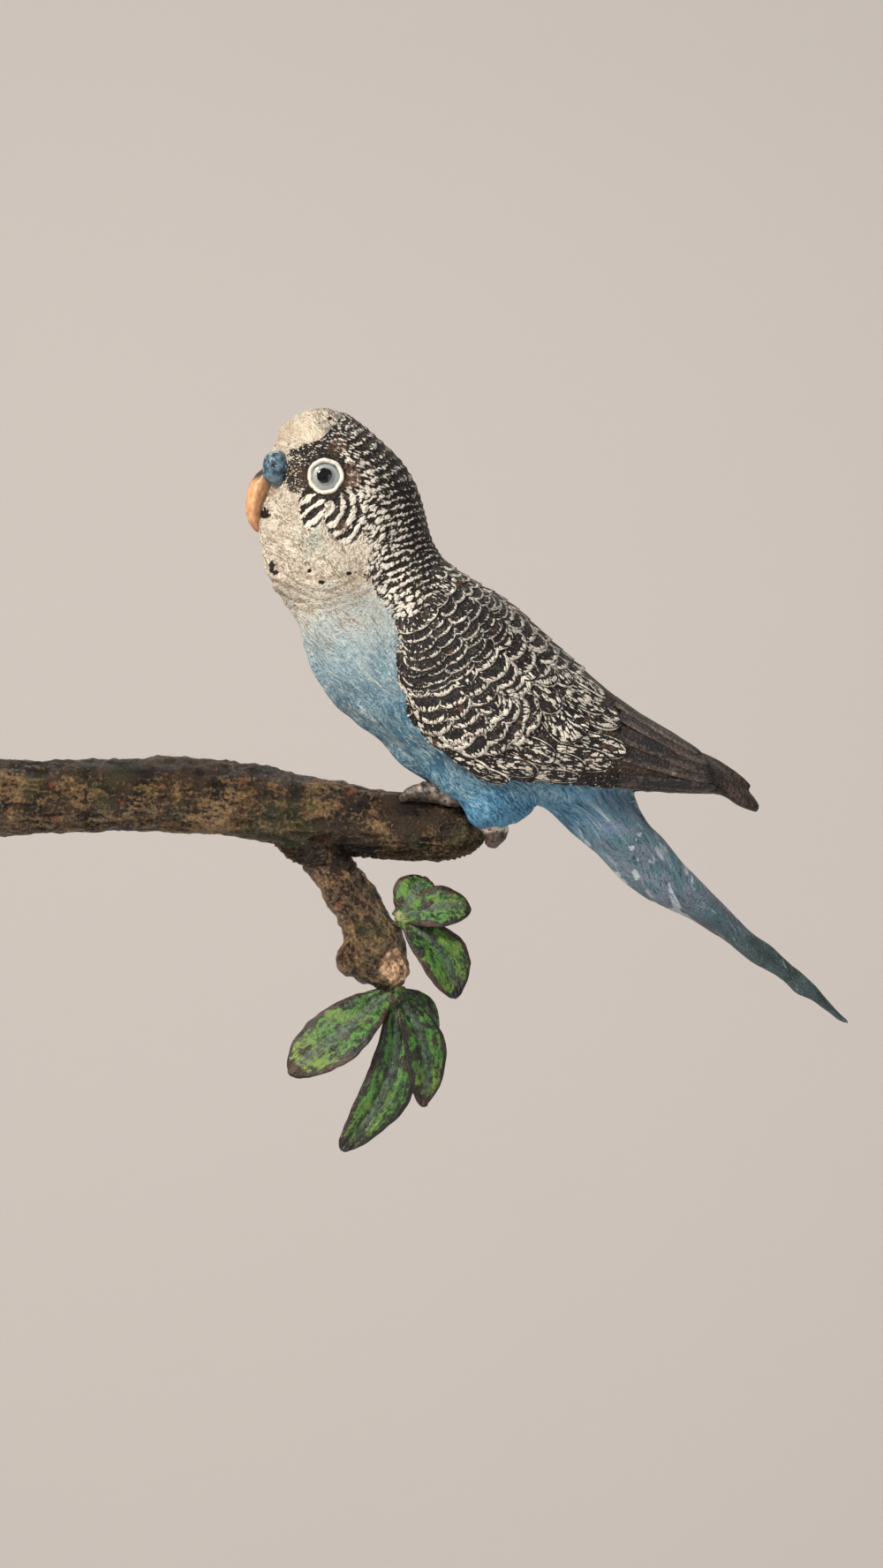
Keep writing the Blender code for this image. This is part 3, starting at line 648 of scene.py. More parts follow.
def face_colours(t, seen):
    """White strokes with brown grooves and pits and a faint turquoise wash, under the cream cap."""
    pepper, hairs, broad = seen.pepper, seen.hairs, seen.broad
    groove = t.most(t.ramp(seen.worms, 0.03, 0.0), t.ramp(hairs, 0.49, 0.4))
    groove = t.most(groove, t.times(t.ramp(t.number("furrow"), 0.1, 0.75), t.ramp(hairs, 0.62, 0.48)))
    face = t.between(broad, 0.35, 0.65, BONE, (226, 214, 196))
    face = t.wash(face, (192, 204, 194), t.number("wash"))
    face = t.wash(face, (142, 122, 100), groove, 0.85)
    face = t.wash(face, (128, 112, 96), t.ramp(pepper, 0.42, 0.36), 0.2)
    face = t.wash(face, (104, 84, 68), seen.pits, 0.75)
    cap = t.between(broad, 0.4, 0.6, (247, 233, 208), (232, 220, 200))
    cap = t.wash(cap, (196, 164, 128), t.number("tan"))
    cap = t.wash(cap, (164, 146, 122), t.ramp(pepper, 0.42, 0.34), 0.3)
    cap = t.wash(cap, (150, 128, 102), groove, 0.45)
    cap = t.wash(cap, (116, 108, 98), t.number("grey"), t.ramp(hairs, 0.54, 0.46))
    cap = t.wash(cap, (70, 56, 44), seen.pits, 0.85)
    return t.between(t.add(t.number("cap"), t.sway(pepper, 1.4)), 0.4, 0.6, face, cap)


def breast_colours(t, seen):
    """Pale to sky blue in hair strokes, with dark strokes as painted shade under the wing's front edge and
    low on the belly.
    """
    depth, hairs = t.number("blue"), seen.hairs
    sky = t.between(depth, 0.0, 0.5, (190, 201, 200), (138, 168, 180))
    sky = t.between(depth, 0.45, 1.0, sky, (112, 153, 172))
    shade = t.ramp(t.noise(seen.place, 4.2, 3.0), 0.52, 0.6)
    sky = t.wash(sky, (70, 116, 142), shade, t.ramp(depth, 0.3, 0.7))
    sky = t.between(depth, 0.84, 1.04, sky, (92, 152, 188))
    deep = t.between(depth, 0.0, 0.6, (158, 174, 176), (78, 120, 146))
    deep = t.between(depth, 0.5, 1.0, deep, (42, 86, 116))
    gaps = t.add(t.times(hairs, 0.7), t.times(seen.pepper, 0.3))
    sky = t.wash(sky, deep, t.ramp(gaps, 0.51, 0.43), 0.85)
    light = t.between(depth, 0.5, 1.0, (208, 213, 207), (170, 192, 200))
    sky = t.wash(sky, light, t.ramp(hairs, 0.54, 0.62), 0.75)
    # Dark strokes: painted shade under the wing's front edge and low on the belly, with more of them towards
    # the tail
    return t.wash(sky, (36, 54, 64), t.ramp(hairs, 0.44, 0.33), t.number("dark_strokes_and_shade"))


def tail_colours(t, seen):
    """Slate, darker to the end, with pale streaks at the root."""
    hairs = seen.hairs
    slate = t.between(t.noise(seen.place, 4.0), 0.42, 0.58, (92, 122, 132), (118, 130, 146))
    end = t.between(seen.broad, 0.4, 0.6, (68, 86, 88), (48, 60, 56))
    slate = t.wash(slate, end, t.number("tail_end"))
    slate = t.wash(slate, (48, 62, 70), t.ramp(hairs, 0.45, 0.36), 0.7)
    slate = t.wash(slate, (160, 176, 184), t.ramp(hairs, 0.56, 0.64), 0.6)
    patches = t.ramp(t.noise(t.stretched(seen.stroke, (2.0, 5.0, 3.0)), 1.0), 0.6, 0.66)
    return t.wash(slate, (198, 208, 212), patches, t.times(t.number("streaks"), 0.8))


def barred_colours(t, seen):
    """White barbs in clumps, closer on the bars, over black grooves: their colours and their height."""

    def wave(name, pitch):
        return t.math("SINE", t.times(t.number(name), 2 * math.pi / pitch))

    barbs = t.group(BARBS, {"Place": t.vector("barb")})
    cover = t.add(t.times(wave("bar", BAR_PITCH), t.number("barred"), 0.24), t.number("bright"))
    for line, region, more in (("arc", "cheek", 0.1), ("slash", "slashed", 0.22)):
        cover = t.add(cover, t.times(t.add(wave(line, ARC_PITCH), more), t.number(region), 0.42))
    over = t.less(t.add(cover, t.sway(seen.pepper, 0.7), 0.42), barbs["Value"])
    white = t.ramp(over, -0.03, 0.04)
    pale = t.between(seen.broad, 0.4, 0.7, (230, 222, 207), (198, 191, 180))
    pale = t.between(over, 0.0, 0.2, (166, 156, 142), pale)
    bars = t.mix(white, t.between(seen.pepper, 0.5, 0.62, SOOT, (78, 64, 54)), pale)
    quill = t.between(seen.pepper, 0.45, 0.62, (40, 34, 31), (88, 70, 58))
    return t.wash(bars, quill, t.number("flight")), t.add(t.times(white, 0.8), t.times(barbs["Height"], 0.7))


def make_plumage_paint():
    """The bird's skin: cream cap, barred nape and cheek, white face, blue breast and slate tail."""
    made, t, shader = new_paint("plumage_paint")
    seen = skin_patterns(t)
    mottle, tail = t.number("mottle"), t.number("tail")
    blue = t.wash(breast_colours(t, seen), tail_colours(t, seen), tail)
    blue_edge = t.add(t.number("blue"), t.sway(seen.hairs, 1.1))
    base = t.between(blue_edge, -0.1, 0.2, face_colours(t, seen), blue)
    bars, relief = barred_colours(t, seen)
    base = t.between(t.add(mottle, t.sway(seen.pepper, 2.4)), 0.4, 0.6, base, bars)
    base = t.wash(base, UMBER, t.number("umber"), t.ramp(seen.pepper, 0.42, 0.5))
    chips = t.most(*(
        t.group(CHIP, {"Place": seen.place, "Centre": tuple(PERCH + centre), "Spread": spread})["Mask"]
        for centre, spread in CHIPS
    ))
    base = t.wash(base, (32, 24, 20), chips)
    plain = t.math("SUBTRACT", 1.0, mottle, clamp=True)
    height = t.add(t.times(seen.pitted, 0.7), t.times(seen.hairs, plain, 4.4))
    height = t.add(height, t.times(t.ramp(seen.worms, 0.0, 0.09), 0.3), t.times(relief, mottle))
    height = t.less(height, t.times(chips, 0.8))
    rough = t.less(0.55, t.times(tail, 0.12))
    end_paint(t, shader, base, rough, height, 0.42, Specular_IOR_Level=0.3)
    return made


def make_feather_paint():
    """Covert feathers: black with a white rim broken by barbs, and white mottles inside the large ones."""
    made, t, shader = new_paint("feather_paint")
    place, across, along, inside = t.place(), t.number("across"), t.number("along"), t.number("inside")
    wide, long = t.feather_size()
    to_side, to_tip = t.times(t.number("side_edge"), wide, 0.5), t.times(t.number("tip_edge"), long)
    reach = t.math("SQRT", t.add(t.times(to_side, to_side), t.times(to_tip, to_tip)))
    rim = t.math("DIVIDE", t.times(to_side, to_tip), reach)
    down = t.times(along, long)
    from_quill = t.times(t.math("ABSOLUTE", across), wide, 0.5 / 0.72)
    half = t.times(t.math("GREATER_THAN", across, 0.0), inside, 9.0)
    barb_place = {
        0: t.less(from_quill, t.times(down, inside, 0.3)),
        1: t.times(down, t.less(1 / 1.3, t.times(inside, 0.45))),
        2: t.add(t.times(t.number("tone"), 37.0), half),
    }
    barbs = t.group(BARBS, {"Place": t.node("ShaderNodeCombineXYZ", barb_place).outputs[0]})
    pepper = t.grit(t.stretched(place, 0.42))
    width = t.number("rim_width")
    band = t.times(t.ramp(rim, t.times(width, 1.1), t.times(width, 0.5)), t.ramp(along, 0.4, 0.62))
    under_lip = t.times(t.ramp(rim, 0.3, 0.4), t.ramp(rim, 0.72, 0.55), inside)
    cover = t.add(t.times(band, 0.52), 0.15, t.times(inside, 0.47), t.sway(t.noise(place, 4.0, 1.0), 0.3))
    cover = t.add(cover, t.times(under_lip, -0.7), t.sway(pepper, 0.8))
    lip = t.times(t.ramp(rim, 0.36, 0.26), t.ramp(rim, 0.02, 0.1), t.ramp(inside, 0.5, 0.7))
    white = t.ramp(t.less(cover, barbs["Value"]), -0.02, 0.05)
    white = t.most(white, t.times(lip, t.ramp(pepper, 0.45, 0.5)))
    bone = t.between(t.noise(place, 5.0), 0.4, 0.6, (238, 230, 214), (206, 198, 184))
    bone = t.wash(bone, (140, 130, 118), t.ramp(pepper, 0.5, 0.4), 0.8)
    base = t.mix(white, t.between(pepper, 0.52, 0.62, SOOT, (74, 64, 58)), bone)
    rust = t.ramp(t.noise(place, 3.4, 1.0), 0.69, 0.73)
    base = t.wash(base, UMBER, rust, t.ramp(pepper, 0.4, 0.5))
    height = t.add(t.times(white, 0.8), t.times(barbs["Height"], 0.9), t.times(pepper, 0.5))
    end_paint(t, shader, base, 0.5, height, 0.34, Specular_IOR_Level=0.3)
    return made


def make_flight_paint():
    """Flight feathers: brown-black with fine lines along them and a worn lower edge."""
    made, t, shader = new_paint("flight_paint")
    place, across = t.place(), t.number("across")
    wide, long = t.feather_size()
    line_place = {
        0: t.times(across, wide, 1.3),
        1: t.times(t.number("along"), long, 0.36),
        2: t.times(t.number("tone"), 29.0),
    }
    lines = t.grit(t.node("ShaderNodeCombineXYZ", line_place).outputs[0])
    pepper = t.grit(t.stretched(place, 0.6))
    worn = t.add(t.times(t.ramp(across, 0.0, 0.9), 0.2), t.sway(lines, 0.6), t.sway(pepper, 1.3))
    worn = t.add(worn, t.sway(t.noise(place, 4.5), 0.55))
    base = t.between(worn, 0.02, 0.2, (24, 20, 18), (86, 73, 64))
    base = t.wash(base, (84, 58, 42), t.ramp(t.noise(place, 3.6), 0.6, 0.68), 0.3)
    base = t.between(worn, 0.3, 0.38, base, (152, 134, 116))
    end_paint(t, shader, base, 0.42, t.add(t.times(lines, 1.6), t.times(pepper, 2.2)), 0.34)
    return made


def make_eye_ring_paint():
    """Bone white, pitted, with a dark outer edge that is partly painted shade where the raised ring meets
    the skin.
    """
    made, t, shader = new_paint("eye_ring_paint")
    place = t.place()
    pits = t.group(PITTED, {"Place": t.stretched(place, 0.6)})
    base = t.between(t.noise(place, 1.2, 3.0), 0.35, 0.6, (204, 196, 180), (232, 226, 210))
    base = t.wash(base, (96, 84, 72), pits["Pits"], 0.6)
    # The dark outer edge: a dark outline that is partly painted shade where the raised ring meets the skin
    worn = t.add(t.number("out"), t.sway(t.noise(place, 0.9, 3.0), 0.16))
    base = t.between(worn, 0.95, 0.985, base, (62, 52, 44))
    end_paint(t, shader, base, 0.4, pits["Height"], 0.12)
    return made


def make_iris_paint():
    """Grey-blue with flecks, with a painted shadow along the top of its rim where the eye ring overhangs it.
    """
    made, t, shader = new_paint("iris_paint")
    place, out = t.place(), t.number("out")
    base = t.between(out, 0.52, 0.68, (100, 106, 106), (140, 145, 143))
    # Painted shadow of the eye ring: dark along the upper rim of the iris only
    top = t.times(t.ramp(out, 0.76, 0.88), t.ramp(t.number("high"), 0.1, 0.7))
    base = t.wash(base, (36, 42, 46), top, 0.85)
    base = t.wash(base, (152, 160, 160), t.ramp(t.noise(place, 0.5, 3.0), 0.5, 0.68), 0.5)
    end_paint(t, shader, base, 0.4, t.noise(place, 0.4), 0.08, Coat_Weight=0.15)
    return made


def make_pupil_paint():
    """Glossy black."""
    made, t, shader = new_paint("pupil_paint")
    place = t.place()
    base = t.between(t.noise(place, 0.7), 0.4, 0.7, (9, 9, 11), (20, 20, 23))
    end_paint(t, shader, base, 0.07, t.noise(place, 0.9, 1.0), 0.03)
    return made


def make_cere_paint():
    """Glossy royal blue with worn, paler grey-blue flecks, and painted shade in the nostril pits."""
    made, t, shader = new_paint("cere_paint")
    place = t.place()
    brushed = t.group(BRUSHED, {"Place": t.stretched(place, 0.8), "Cover": 0.4, "Edge": 0.06})
    base = t.between(t.noise(place, 1.6, 3.0), 0.36, 0.62, (28, 54, 74), (78, 108, 124))
    base = t.wash(base, (122, 146, 154), brushed["Mask"], 0.5)
    base = t.wash(base, (216, 222, 216), t.ramp(brushed["Value"], 0.63, 0.68), 0.8)
    # Near-black in the nostril pits: painted shade in the hollows
    base = t.wash(base, (14, 20, 30), t.number("hollow"))
    end_paint(t, shader, base, 0.2, brushed["Value"], 0.3, Coat_Weight=0.6)
    return made


def make_beak_paint():
    """Salmon orange, brown where it meets the cere and at its tip."""
    made, t, shader = new_paint("beak_paint")
    along, grit = t.number("along"), t.grit(t.stretched(t.place(), (0.7, 0.7, 1.4)))
    base = t.between(grit, 0.4, 0.6, (188, 134, 92), (212, 164, 120))
    base = t.between(along, 0.24, 0.1, base, (58, 46, 40))
    base = t.wash(base, (140, 66, 36), t.ramp(along, 0.78, 0.95), 0.65)
    base = t.wash(base, (120, 70, 46), t.ramp(grit, 0.35, 0.3), 0.7)
    end_paint(t, shader, base, 0.4, grit, 0.12)
    return made


def make_foot_paint():
    """Grey-brown toes with pinkish, worn scales."""
    made, t, shader = new_paint("foot_paint")
    place = t.place()
    grit = t.grit(t.stretched(place, 0.9))
    base = t.between(grit, 0.42, 0.58, (42, 34, 30), (88, 74, 64))
    pale = t.between(t.noise(place, 2.0), 0.4, 0.6, (196, 172, 156), (214, 200, 180))
    base = t.wash(base, pale, t.number("pale"), t.ramp(grit, 0.4, 0.5))
    end_paint(t, shader, base, 0.42, grit, 0.3)
    return made


def make_bark_paint():
    """Brown-black bark dry-brushed with ochre and khaki, green and copper in places."""
    made, t, shader = new_paint("bark_paint")
    place, twig = t.place(), t.number("twig")
    fleck = t.grit(t.stretched(place, 0.8))
    crackle = t.group(BARBS, {"Place": t.stretched(place, 0.9)})["Value"]
    # The value drops, and the bark darkens, where painted shade lies under the bird and in the fork, and
    # along the top
    value = t.add(
        t.times(t.grit(t.vector("grain")), 0.4), t.times(fleck, 0.6), t.sway(t.noise(place, 9.0, 3.0), 0.26),
        t.times(t.number("raised"), 0.06), t.times(t.number("shade_and_dark_top"), -0.16),
        t.times(t.less(0.45, crackle), 0.1),
    )
    dark = t.between(t.noise(place, 5.0), 0.4, 0.6, (26, 20, 16), (56, 42, 29))
    ochre = t.between(t.noise(place, 6.5), 0.38, 0.62, (98, 75, 42), (110, 86, 58))
    dark, ochre = t.wash(dark, (48, 34, 26), twig), t.wash(ochre, (101, 80, 57), twig)
    base = t.between(value, 0.49, 0.55, dark, ochre)
    base = t.between(value, 0.575, 0.63, base, (146, 118, 80))
    base = t.wash(base, (64, 74, 38), t.ramp(t.noise(place, 11.0), 0.58, 0.68), 0.28)
    base = t.wash(base, (118, 62, 40), t.ramp(t.noise(place, 3.1), 0.67, 0.72), 0.8)
    bare = t.between(fleck, 0.42, 0.6, (150, 110, 80), (226, 190, 154))
    base = t.wash(base, bare, t.number("bare"))
    rough = t.add(t.times(t.ramp(value, 0.45, 0.55), 0.14), 0.2)
    end_paint(t, shader, base, rough, t.times(value, 5.0), 0.6, Specular_IOR_Level=0.4)
    return made


def make_leaf_paint():
    """Cast leaves in several greens, worn to dark bronze at their edges, with a grey-green midrib."""
    made, t, shader = new_paint("leaf_paint")
    place, edge = t.place(), t.number("worn")
    fleck, broad = t.grit(t.stretched(place, 0.9)), t.noise(place, 5.0)
    value = t.add(t.times(t.grit(t.vector("vein")), 0.55), t.times(fleck, 0.45))
    green = t.between(value, 0.43, 0.56, (20, 34, 17), (70, 121, 41))
    green = t.wash(green, (106, 134, 50), t.ramp(broad, 0.55, 0.7), 0.6)
    # Yellow-green towards the tips: partly a painted highlight on the leaves that face the light
    green = t.wash(green, (134, 142, 58), t.number("light"), t.ramp(value, 0.42, 0.55))
    green = t.between(value, 0.61, 0.68, green, (160, 172, 106))
    blotch = t.ramp(t.add(t.noise(place, 3.0, 3.0), t.times(edge, 0.2)), 0.56, 0.6)
    green = t.wash(green, t.between(fleck, 0.42, 0.6, (24, 22, 15), (58, 42, 28)), blotch, 0.92)
    midrib = t.times(t.number("grey"), t.ramp(value, 0.36, 0.5))
    base = t.wash(green, t.between(fleck, 0.4, 0.6, (42, 50, 42), (84, 97, 84)), midrib, 0.85)
    base = t.wash(base, (28, 28, 20), t.ramp(value, 0.42, 0.34), 0.9)
    worn = t.add(edge, t.sway(fleck, 1.4), t.sway(t.noise(place, 4.0), 1.3))
    base = t.between(worn, 0.44, 0.58, base, t.between(broad, 0.4, 0.6, (26, 20, 15), (62, 42, 29)))
    base = t.wash(base, (150, 142, 98), t.number("stem"), t.ramp(fleck, 0.42, 0.55))
    end_paint(t, shader, base, 0.36, t.times(value, 2.2), 0.5)
    return made


def body_parts():
    """Closed lofts of the body, both folded wings and both thighs."""
    turn = round_turn(BODY_SIDES)
    body = []
    for height, front, back, share in smooth_path(BODY, 3):
        x = (front + back) / 2 - (back - front) / 2 * np.cos(turn)
        y = share * BODY_HALF_WIDTH * np.sin(turn)
        body.append(np.stack([x, y, np.full(BODY_SIDES, height)], axis=1))
    parts = [loft(body, BODY_ENDS)]
    for side in SIDES:
        rings = []
        for top_x, top_z, low_x, low_z, wide in wing_stations(side > 0):
            turn = WING_ARC * np.linspace(0, 1, WING_POINTS)
            share = (1 - np.cos(turn)) / (1 - math.cos(WING_ARC))
            run, fall = low_x - top_x, low_z - top_z
            inset = WING_INSET / math.hypot(run, fall) * (1 - 2 * share)
            x, z = top_x + run * share + run * inset, top_z + fall * share + fall * inset
            ring = np.stack([x, side * wide * np.sin(turn), z], axis=1)
            inner = [(low_x, -side * 0.5, low_z + WING_INSET), (top_x, -side * 0.5, top_z - WING_INSET)]
            rings.append(np.vstack([ring, inner]))
        parts.append(loft(rings))
        parts += [ball((x, side * y, z), size, math.radians(tilt)) for (x, y, z), size, tilt in THIGH]
    return parts


def wing_stations(crossing):
    """The wing's stations; the tip of the far wing crosses above the near one."""
    path = smooth_path(WING, 4)
    last = len(WING) - 1
    late = np.clip(np.linspace(0, last, len(path)) - WING_TIP_FROM, 0, None) / (last - WING_TIP_FROM)
    if crossing:
        back, up, up_low = WING_TIP_SHIFT
        path = path + late[:, None] * np.array((back, up, back, up_low, 0.0))
    return path


def wing_region(x, z, nape_line, fine):
    """1 on the folded wing and its flight feathers, from the first row of feathers down."""
    low_edge = np.interp(
        x,
        [-14, -12.5, -11.2, -6.5, 0.4, 10.4, 22, 32, 41, 50, 55.7, 60.2, 64, 66],
        [27, 20, 17, 11.2, 6.4, 3.2, 2.4, 1.6, 1.0, 0.4, 0.2, -3.2, -5, -6],
    )
    row_x, row_z = np.array(SHOULDER_ROWS[0]).T
    wing = ramp(z - low_edge + 0.3 * fine, -0.3, 0.5) * ramp(x - nape_line, -1.0, 0.5)
    return wing * ramp(z - np.interp(x, row_x, row_z), 3.2, 1.2)


def cap_region(x, z, fine):
    """1 on the cream cap, its edge softer towards the nape."""
    line = np.interp(x, [-45, -37, -33.2, -28.9, -26.6, -24.3, -22], [71.5, 73.4, 74.8, 76.3, 77.8, 82, 85])
    soft = ramp(x, -30, -24)
    return ramp(z - line + 0.6 * fine - 1.2 * ramp(x, -30, -25), -0.5 - 1.6 * soft, 0.5 + 1.8 * soft)


def paint_regions(item):
    """Stores where each paint lies, by place in the side view, the same on both sides."""
    p = points_of(item) - PERCH
    x, y, z = p.T
    lump, fine = noise(p, 4.0, 1), noise(p, 1.4, 2)
    cap = cap_region(x, z, fine)
    nape_line = np.interp(
        z,
        [26, 30, 36, 39.8, 43, 47.5, 52, 58, 64, 70, 76, 80, 84],
        [-11, -11.5, -12, -13, -16, -19.5, -18.4, -19.5, -21, -23, -27, -26, -23.5],
    )
    into_nape, soft = x - nape_line, ramp(z, 62, 54)
    nape = ramp(into_nape + 1.2 * lump + 0.8 * fine, -3.0 - 3.0 * soft, 2.2 + 2.0 * soft) * (1 - cap)
    wing = wing_region(x, z, nape_line, fine)
    nape = np.maximum(nape * ramp(z, 24, 28), wing)
    bare = 1 - nape
    band = ramp(z + 0.25 * (x + 30), 69.5, 72.0) * ramp(cap, 0.8, 0.2) * ramp(x, -38.5, -36.5)
    band = np.maximum(band, 0.8 * spot(x, z, (-34.5, 68.5), 4.6, 2.4, (1, 0.8)))
    band = np.maximum(band, 0.9 * spot(x, z, EYE, 6.6, 5.0))

    # The arcs on the cheek and the slashes in front of them
    arc = np.hypot(x + 28.8, z - 61.6)
    heading = np.degrees(np.arctan2(z - 61.6, x + 28.8))
    cheek = ramp(arc, 0.9, 1.7) * ramp(arc, 10.6, 9.4) * ramp(heading - 4.5 * arc, -116, -92)
    cheek *= ramp(heading, 44, 26)
    arc = arc + 0.4 * lump + 0.15 * fine + 0.9
    slashed = spot(x, z, (-31.4, 61.4), 1.1, 0.85, (1 / 2.9, 1 / 4.6)) * (1 - cheek)
    lean = math.radians(38)
    slash = z * math.cos(lean) - x * math.sin(lean) + 0.3 * lump + 0.15 * fine

    # The bars across the nape, and how bright they are
    lean = np.radians(np.interp(z, [36, 50, 64, 78], [34, 26, 16, 30]))
    bar = x * np.sin(lean) - z * np.cos(lean) + 0.45 * noise(p, 3.2, 3) + 0.2 * fine
    along_bar = x * np.cos(lean) + z * np.sin(lean)
    barred = nape * ramp(into_nape, 1.0, 5.0) * (1 - wing)
    dark = 0.2 * ramp(x - np.interp(z, [40, 46, 60, 72, 80], [2, -6, -11, -15, -22]), -5, 1)
    dark = np.maximum(dark, 0.16 * spot(x, z, (-20, 77), 6, 3, (0.8, 0.8)))
    dark = np.maximum(dark, 0.24 * wing)
    bright = nape * (0.06 + 0.12 * ramp(into_nape, 7.0, 1.0) - dark)
    beside = 0.14 * band * ramp(x, -27, -22) + 0.08 * cheek - 0.08 * band
    # Less white round the eye: a dark halo, painted shade where the raised eye ring meets the skin
    bright += (beside - 0.3 * spot(x, z, EYE, 5.6, 4.2)) * bare

    # The breast's blue, the tail and the hair strokes
    blue = (41.0 - z + 0.18 * (x + 30) * ramp(z, 20, 34) + 2.6 * lump + 1.2 * fine) / 43
    along_tail = 0.74 * x - 0.67 * z
    tail = ramp(along_tail + 3 * lump, 16, 33)
    # Where dark strokes go: painted shade under the wing's front edge and low on the belly, with more of
    # them towards the tail
    dark_strokes_and_shade = spot(x, z, (-12.5, 31), 6.5, 2.5, (0.8, 1)) + ramp(along_tail, 18, 34) + 0.35 * ramp(z, 12, 2)
    along, across = turned(x, z, -50)
    across = across + 1.6 * noise(p, 7.0, 5)
    straight, swirl = ramp(z, 46, 38), noise(p, 5.0, 15)
    along = along / (1.1 + 0.4 * straight + tail) + swirl
    umber = 0.8 * spot(x, z, (-23.2, 67.8), 3.0, 1.6, (1, 0.8))
    umber = np.maximum(umber, 0.45 * ramp(fine, -0.5, 0.3) * spot(x, z, (-34.0, 67.5), 3.2, 1.6, (1, 0.8)))
    umber = np.maximum(umber, 0.9 * spot(x, z, (-24.9, 57.2), 1.6, 0.7))
    umber = np.maximum(umber, 0.7 * spot(x, z, (-26, 74.4), 2.0, 1.0, (0.7, 1)))
    held = {
        "cap": cap,
        "mottle": np.maximum.reduce([nape, band, cheek, slashed]),
        "bright": bright,
        "bar": bar,
        "barred": barred,
        "arc": arc,
        "cheek": cheek * bare,
        "slash": slash,
        "slashed": slashed,
        "barb": np.stack([along_bar / 0.95, bar / 0.9, y / 0.9], axis=1),
        "grey": ramp(x + 0.4 * (z - 78) + 0.8 * lump, -33, -26) * ramp(z, 74, 77),
        "tan": 0.4 * ramp(x, -33, -38) * ramp(z, 74, 78),
        "blue": np.clip(blue, -0.2, 1.2) - 2.0 * ramp(z + 2.5 * lump, 47, 55),
        "tail": tail,
        "tail_end": ramp(along_tail + 4 * lump, 44, 72),
        "streaks": ramp(along_tail, 66, 50),
        "flight": wing * ramp(x + 0.5 * (z - 8), 30, 35),
        "dark_strokes_and_shade": np.clip(dark_strokes_and_shade + 0.4 * ramp(lump, 0.0, 0.5), 0, 1),
        "wash": 0.8 * spot(x, z, (-31.3, 54.5), 6, 1) * ramp(fine, -0.6, 0.4),
        "umber": umber,
        "stroke": np.stack([along, across / 0.46 - swirl, y / (1.0 + straight)], axis=1),
    }
    for name, values in held.items():
        store(item, name, values)
    arcs = cheek * np.sin(2 * math.pi * arc / ARC_PITCH) + slashed * np.sin(2 * math.pi * slash / ARC_PITCH)
    return nape, cheek, barred * np.sin(2 * math.pi * bar / BAR_PITCH), arcs


def turned(x, z, degrees):
    """Places along and across a line that leans by some degrees in the side view."""
    lean = math.radians(degrees)
    return x * math.cos(lean) + z * math.sin(lean), -x * math.sin(lean) + z * math.cos(lean)


def build_skin(paint):
    """The painted bronze skin of the body and wings, with its bars and feather strokes in relief."""
    skin = fused("plumage_skin", body_parts(), SKIN_CELL)
    relax(skin, 8)
    p = points_of(skin) - PERCH
    x, y, z = p.T
    y *= 1 - 0.6 * ramp(x, -31, -41) * ramp(z, 52, 60) * ramp(z, 80, 74)
    thigh = spot(x, z, (6, -1), 12, 7)
    set_points(skin, p + PERCH)
    relax(skin, 30, keep=1 - thigh)
    p = points_of(skin) - PERCH
    nape, cheek, bars, arcs = paint_regions(skin)
    x, y, z = p.T
    plain, belly = ramp(z, 40, 50) * (1 - nape) * (1 - cheek), ramp(z, 52, 44) * (1 - nape)
    worms = 1 - 2 * np.abs(noise(p, 2.4, 13))
    flow = (z + 0.5 * x) / 1.15 + 1.2 * noise(p, 5, 17)
    strokes = noise(np.stack([(x - 0.5 * z) / 2.6 + worms, flow, y / 2.4], axis=1), 1.0, 16)
    across = turned(x, z, -50)[1] + 1.2 * noise(p, 6, 9)
    furrows = noise(np.stack([(x + z) / 3, across, y / 2], axis=1), 1.3, 10)
    collar = np.hypot(x + 29.5, z - 57)
    throat = np.sin(2 * math.pi * (collar + 0.7 * noise(p, 4, 12)) / 1.9)
    throat *= ramp(collar, 9, 12) * ramp(collar, 20, 17) * ramp(z, 51, 47) * (1 - nape)
    rise = 0.12 * bars + 0.17 * arcs + 0.12 * noise(p, 3.0, 8) + (0.1 * worms + 0.32 * strokes) * plain
    rise += (0.38 * furrows + 0.55 * noise(p, (7.0, 6.0, 5.0), 18)) * belly + 0.2 * throat
    store(skin, "furrow", np.maximum(-strokes * plain, -0.8 * throat))
    swell(skin, rise)
    return finish_piece(skin, paint)


def feather_mesh():
    """One scale-like feather, its tip at the origin and its root at y = -1, one wide and one long."""
    across = [-1, -0.93, -0.62, -0.3, 0, 0.3, 0.62, 0.93, 1]
    along = [0, 0.3, 0.52, 0.68, 0.8, 0.89, 0.96, 1]
    verts, held = [], []
    for v in along:
        taper = math.sqrt(1 - 0.9 * max(0, (v - 0.45) / 0.55) ** 2.6)
        for u in across:
            drop = 0.06 * u * u * v
            verts.append((0.5 * u * taper, v - 1 - drop, 0))
            rise = (0.1 + 0.9 * v ** 1.4) * (1 - 0.18 * u * u) + 0.1 * math.exp(-((u / 0.12) ** 2))
            lip = max(abs(u), 0 if v < 0.97 else 1)
            edge = (1 - abs(u)) * taper
            held.append((u, v, edge, 1 - v, rise if lip < 0.97 else -0.35))
    mesh = bpy.data.meshes.new("feather")
    n = len(across)
    faces = [
        (r * n + k, r * n + k + 1, (r + 1) * n + k + 1, (r + 1) * n + k)
        for r in range(len(along) - 1)
        for k in range(n - 1)
    ]
    mesh.from_pydata(verts, [], faces)
    item = bpy.data.objects.new("feather", mesh)
    for name, values in zip(("across", "along", "side_edge", "tip_edge", "rise"), zip(*held)):
        store(item, name, values)
    return item


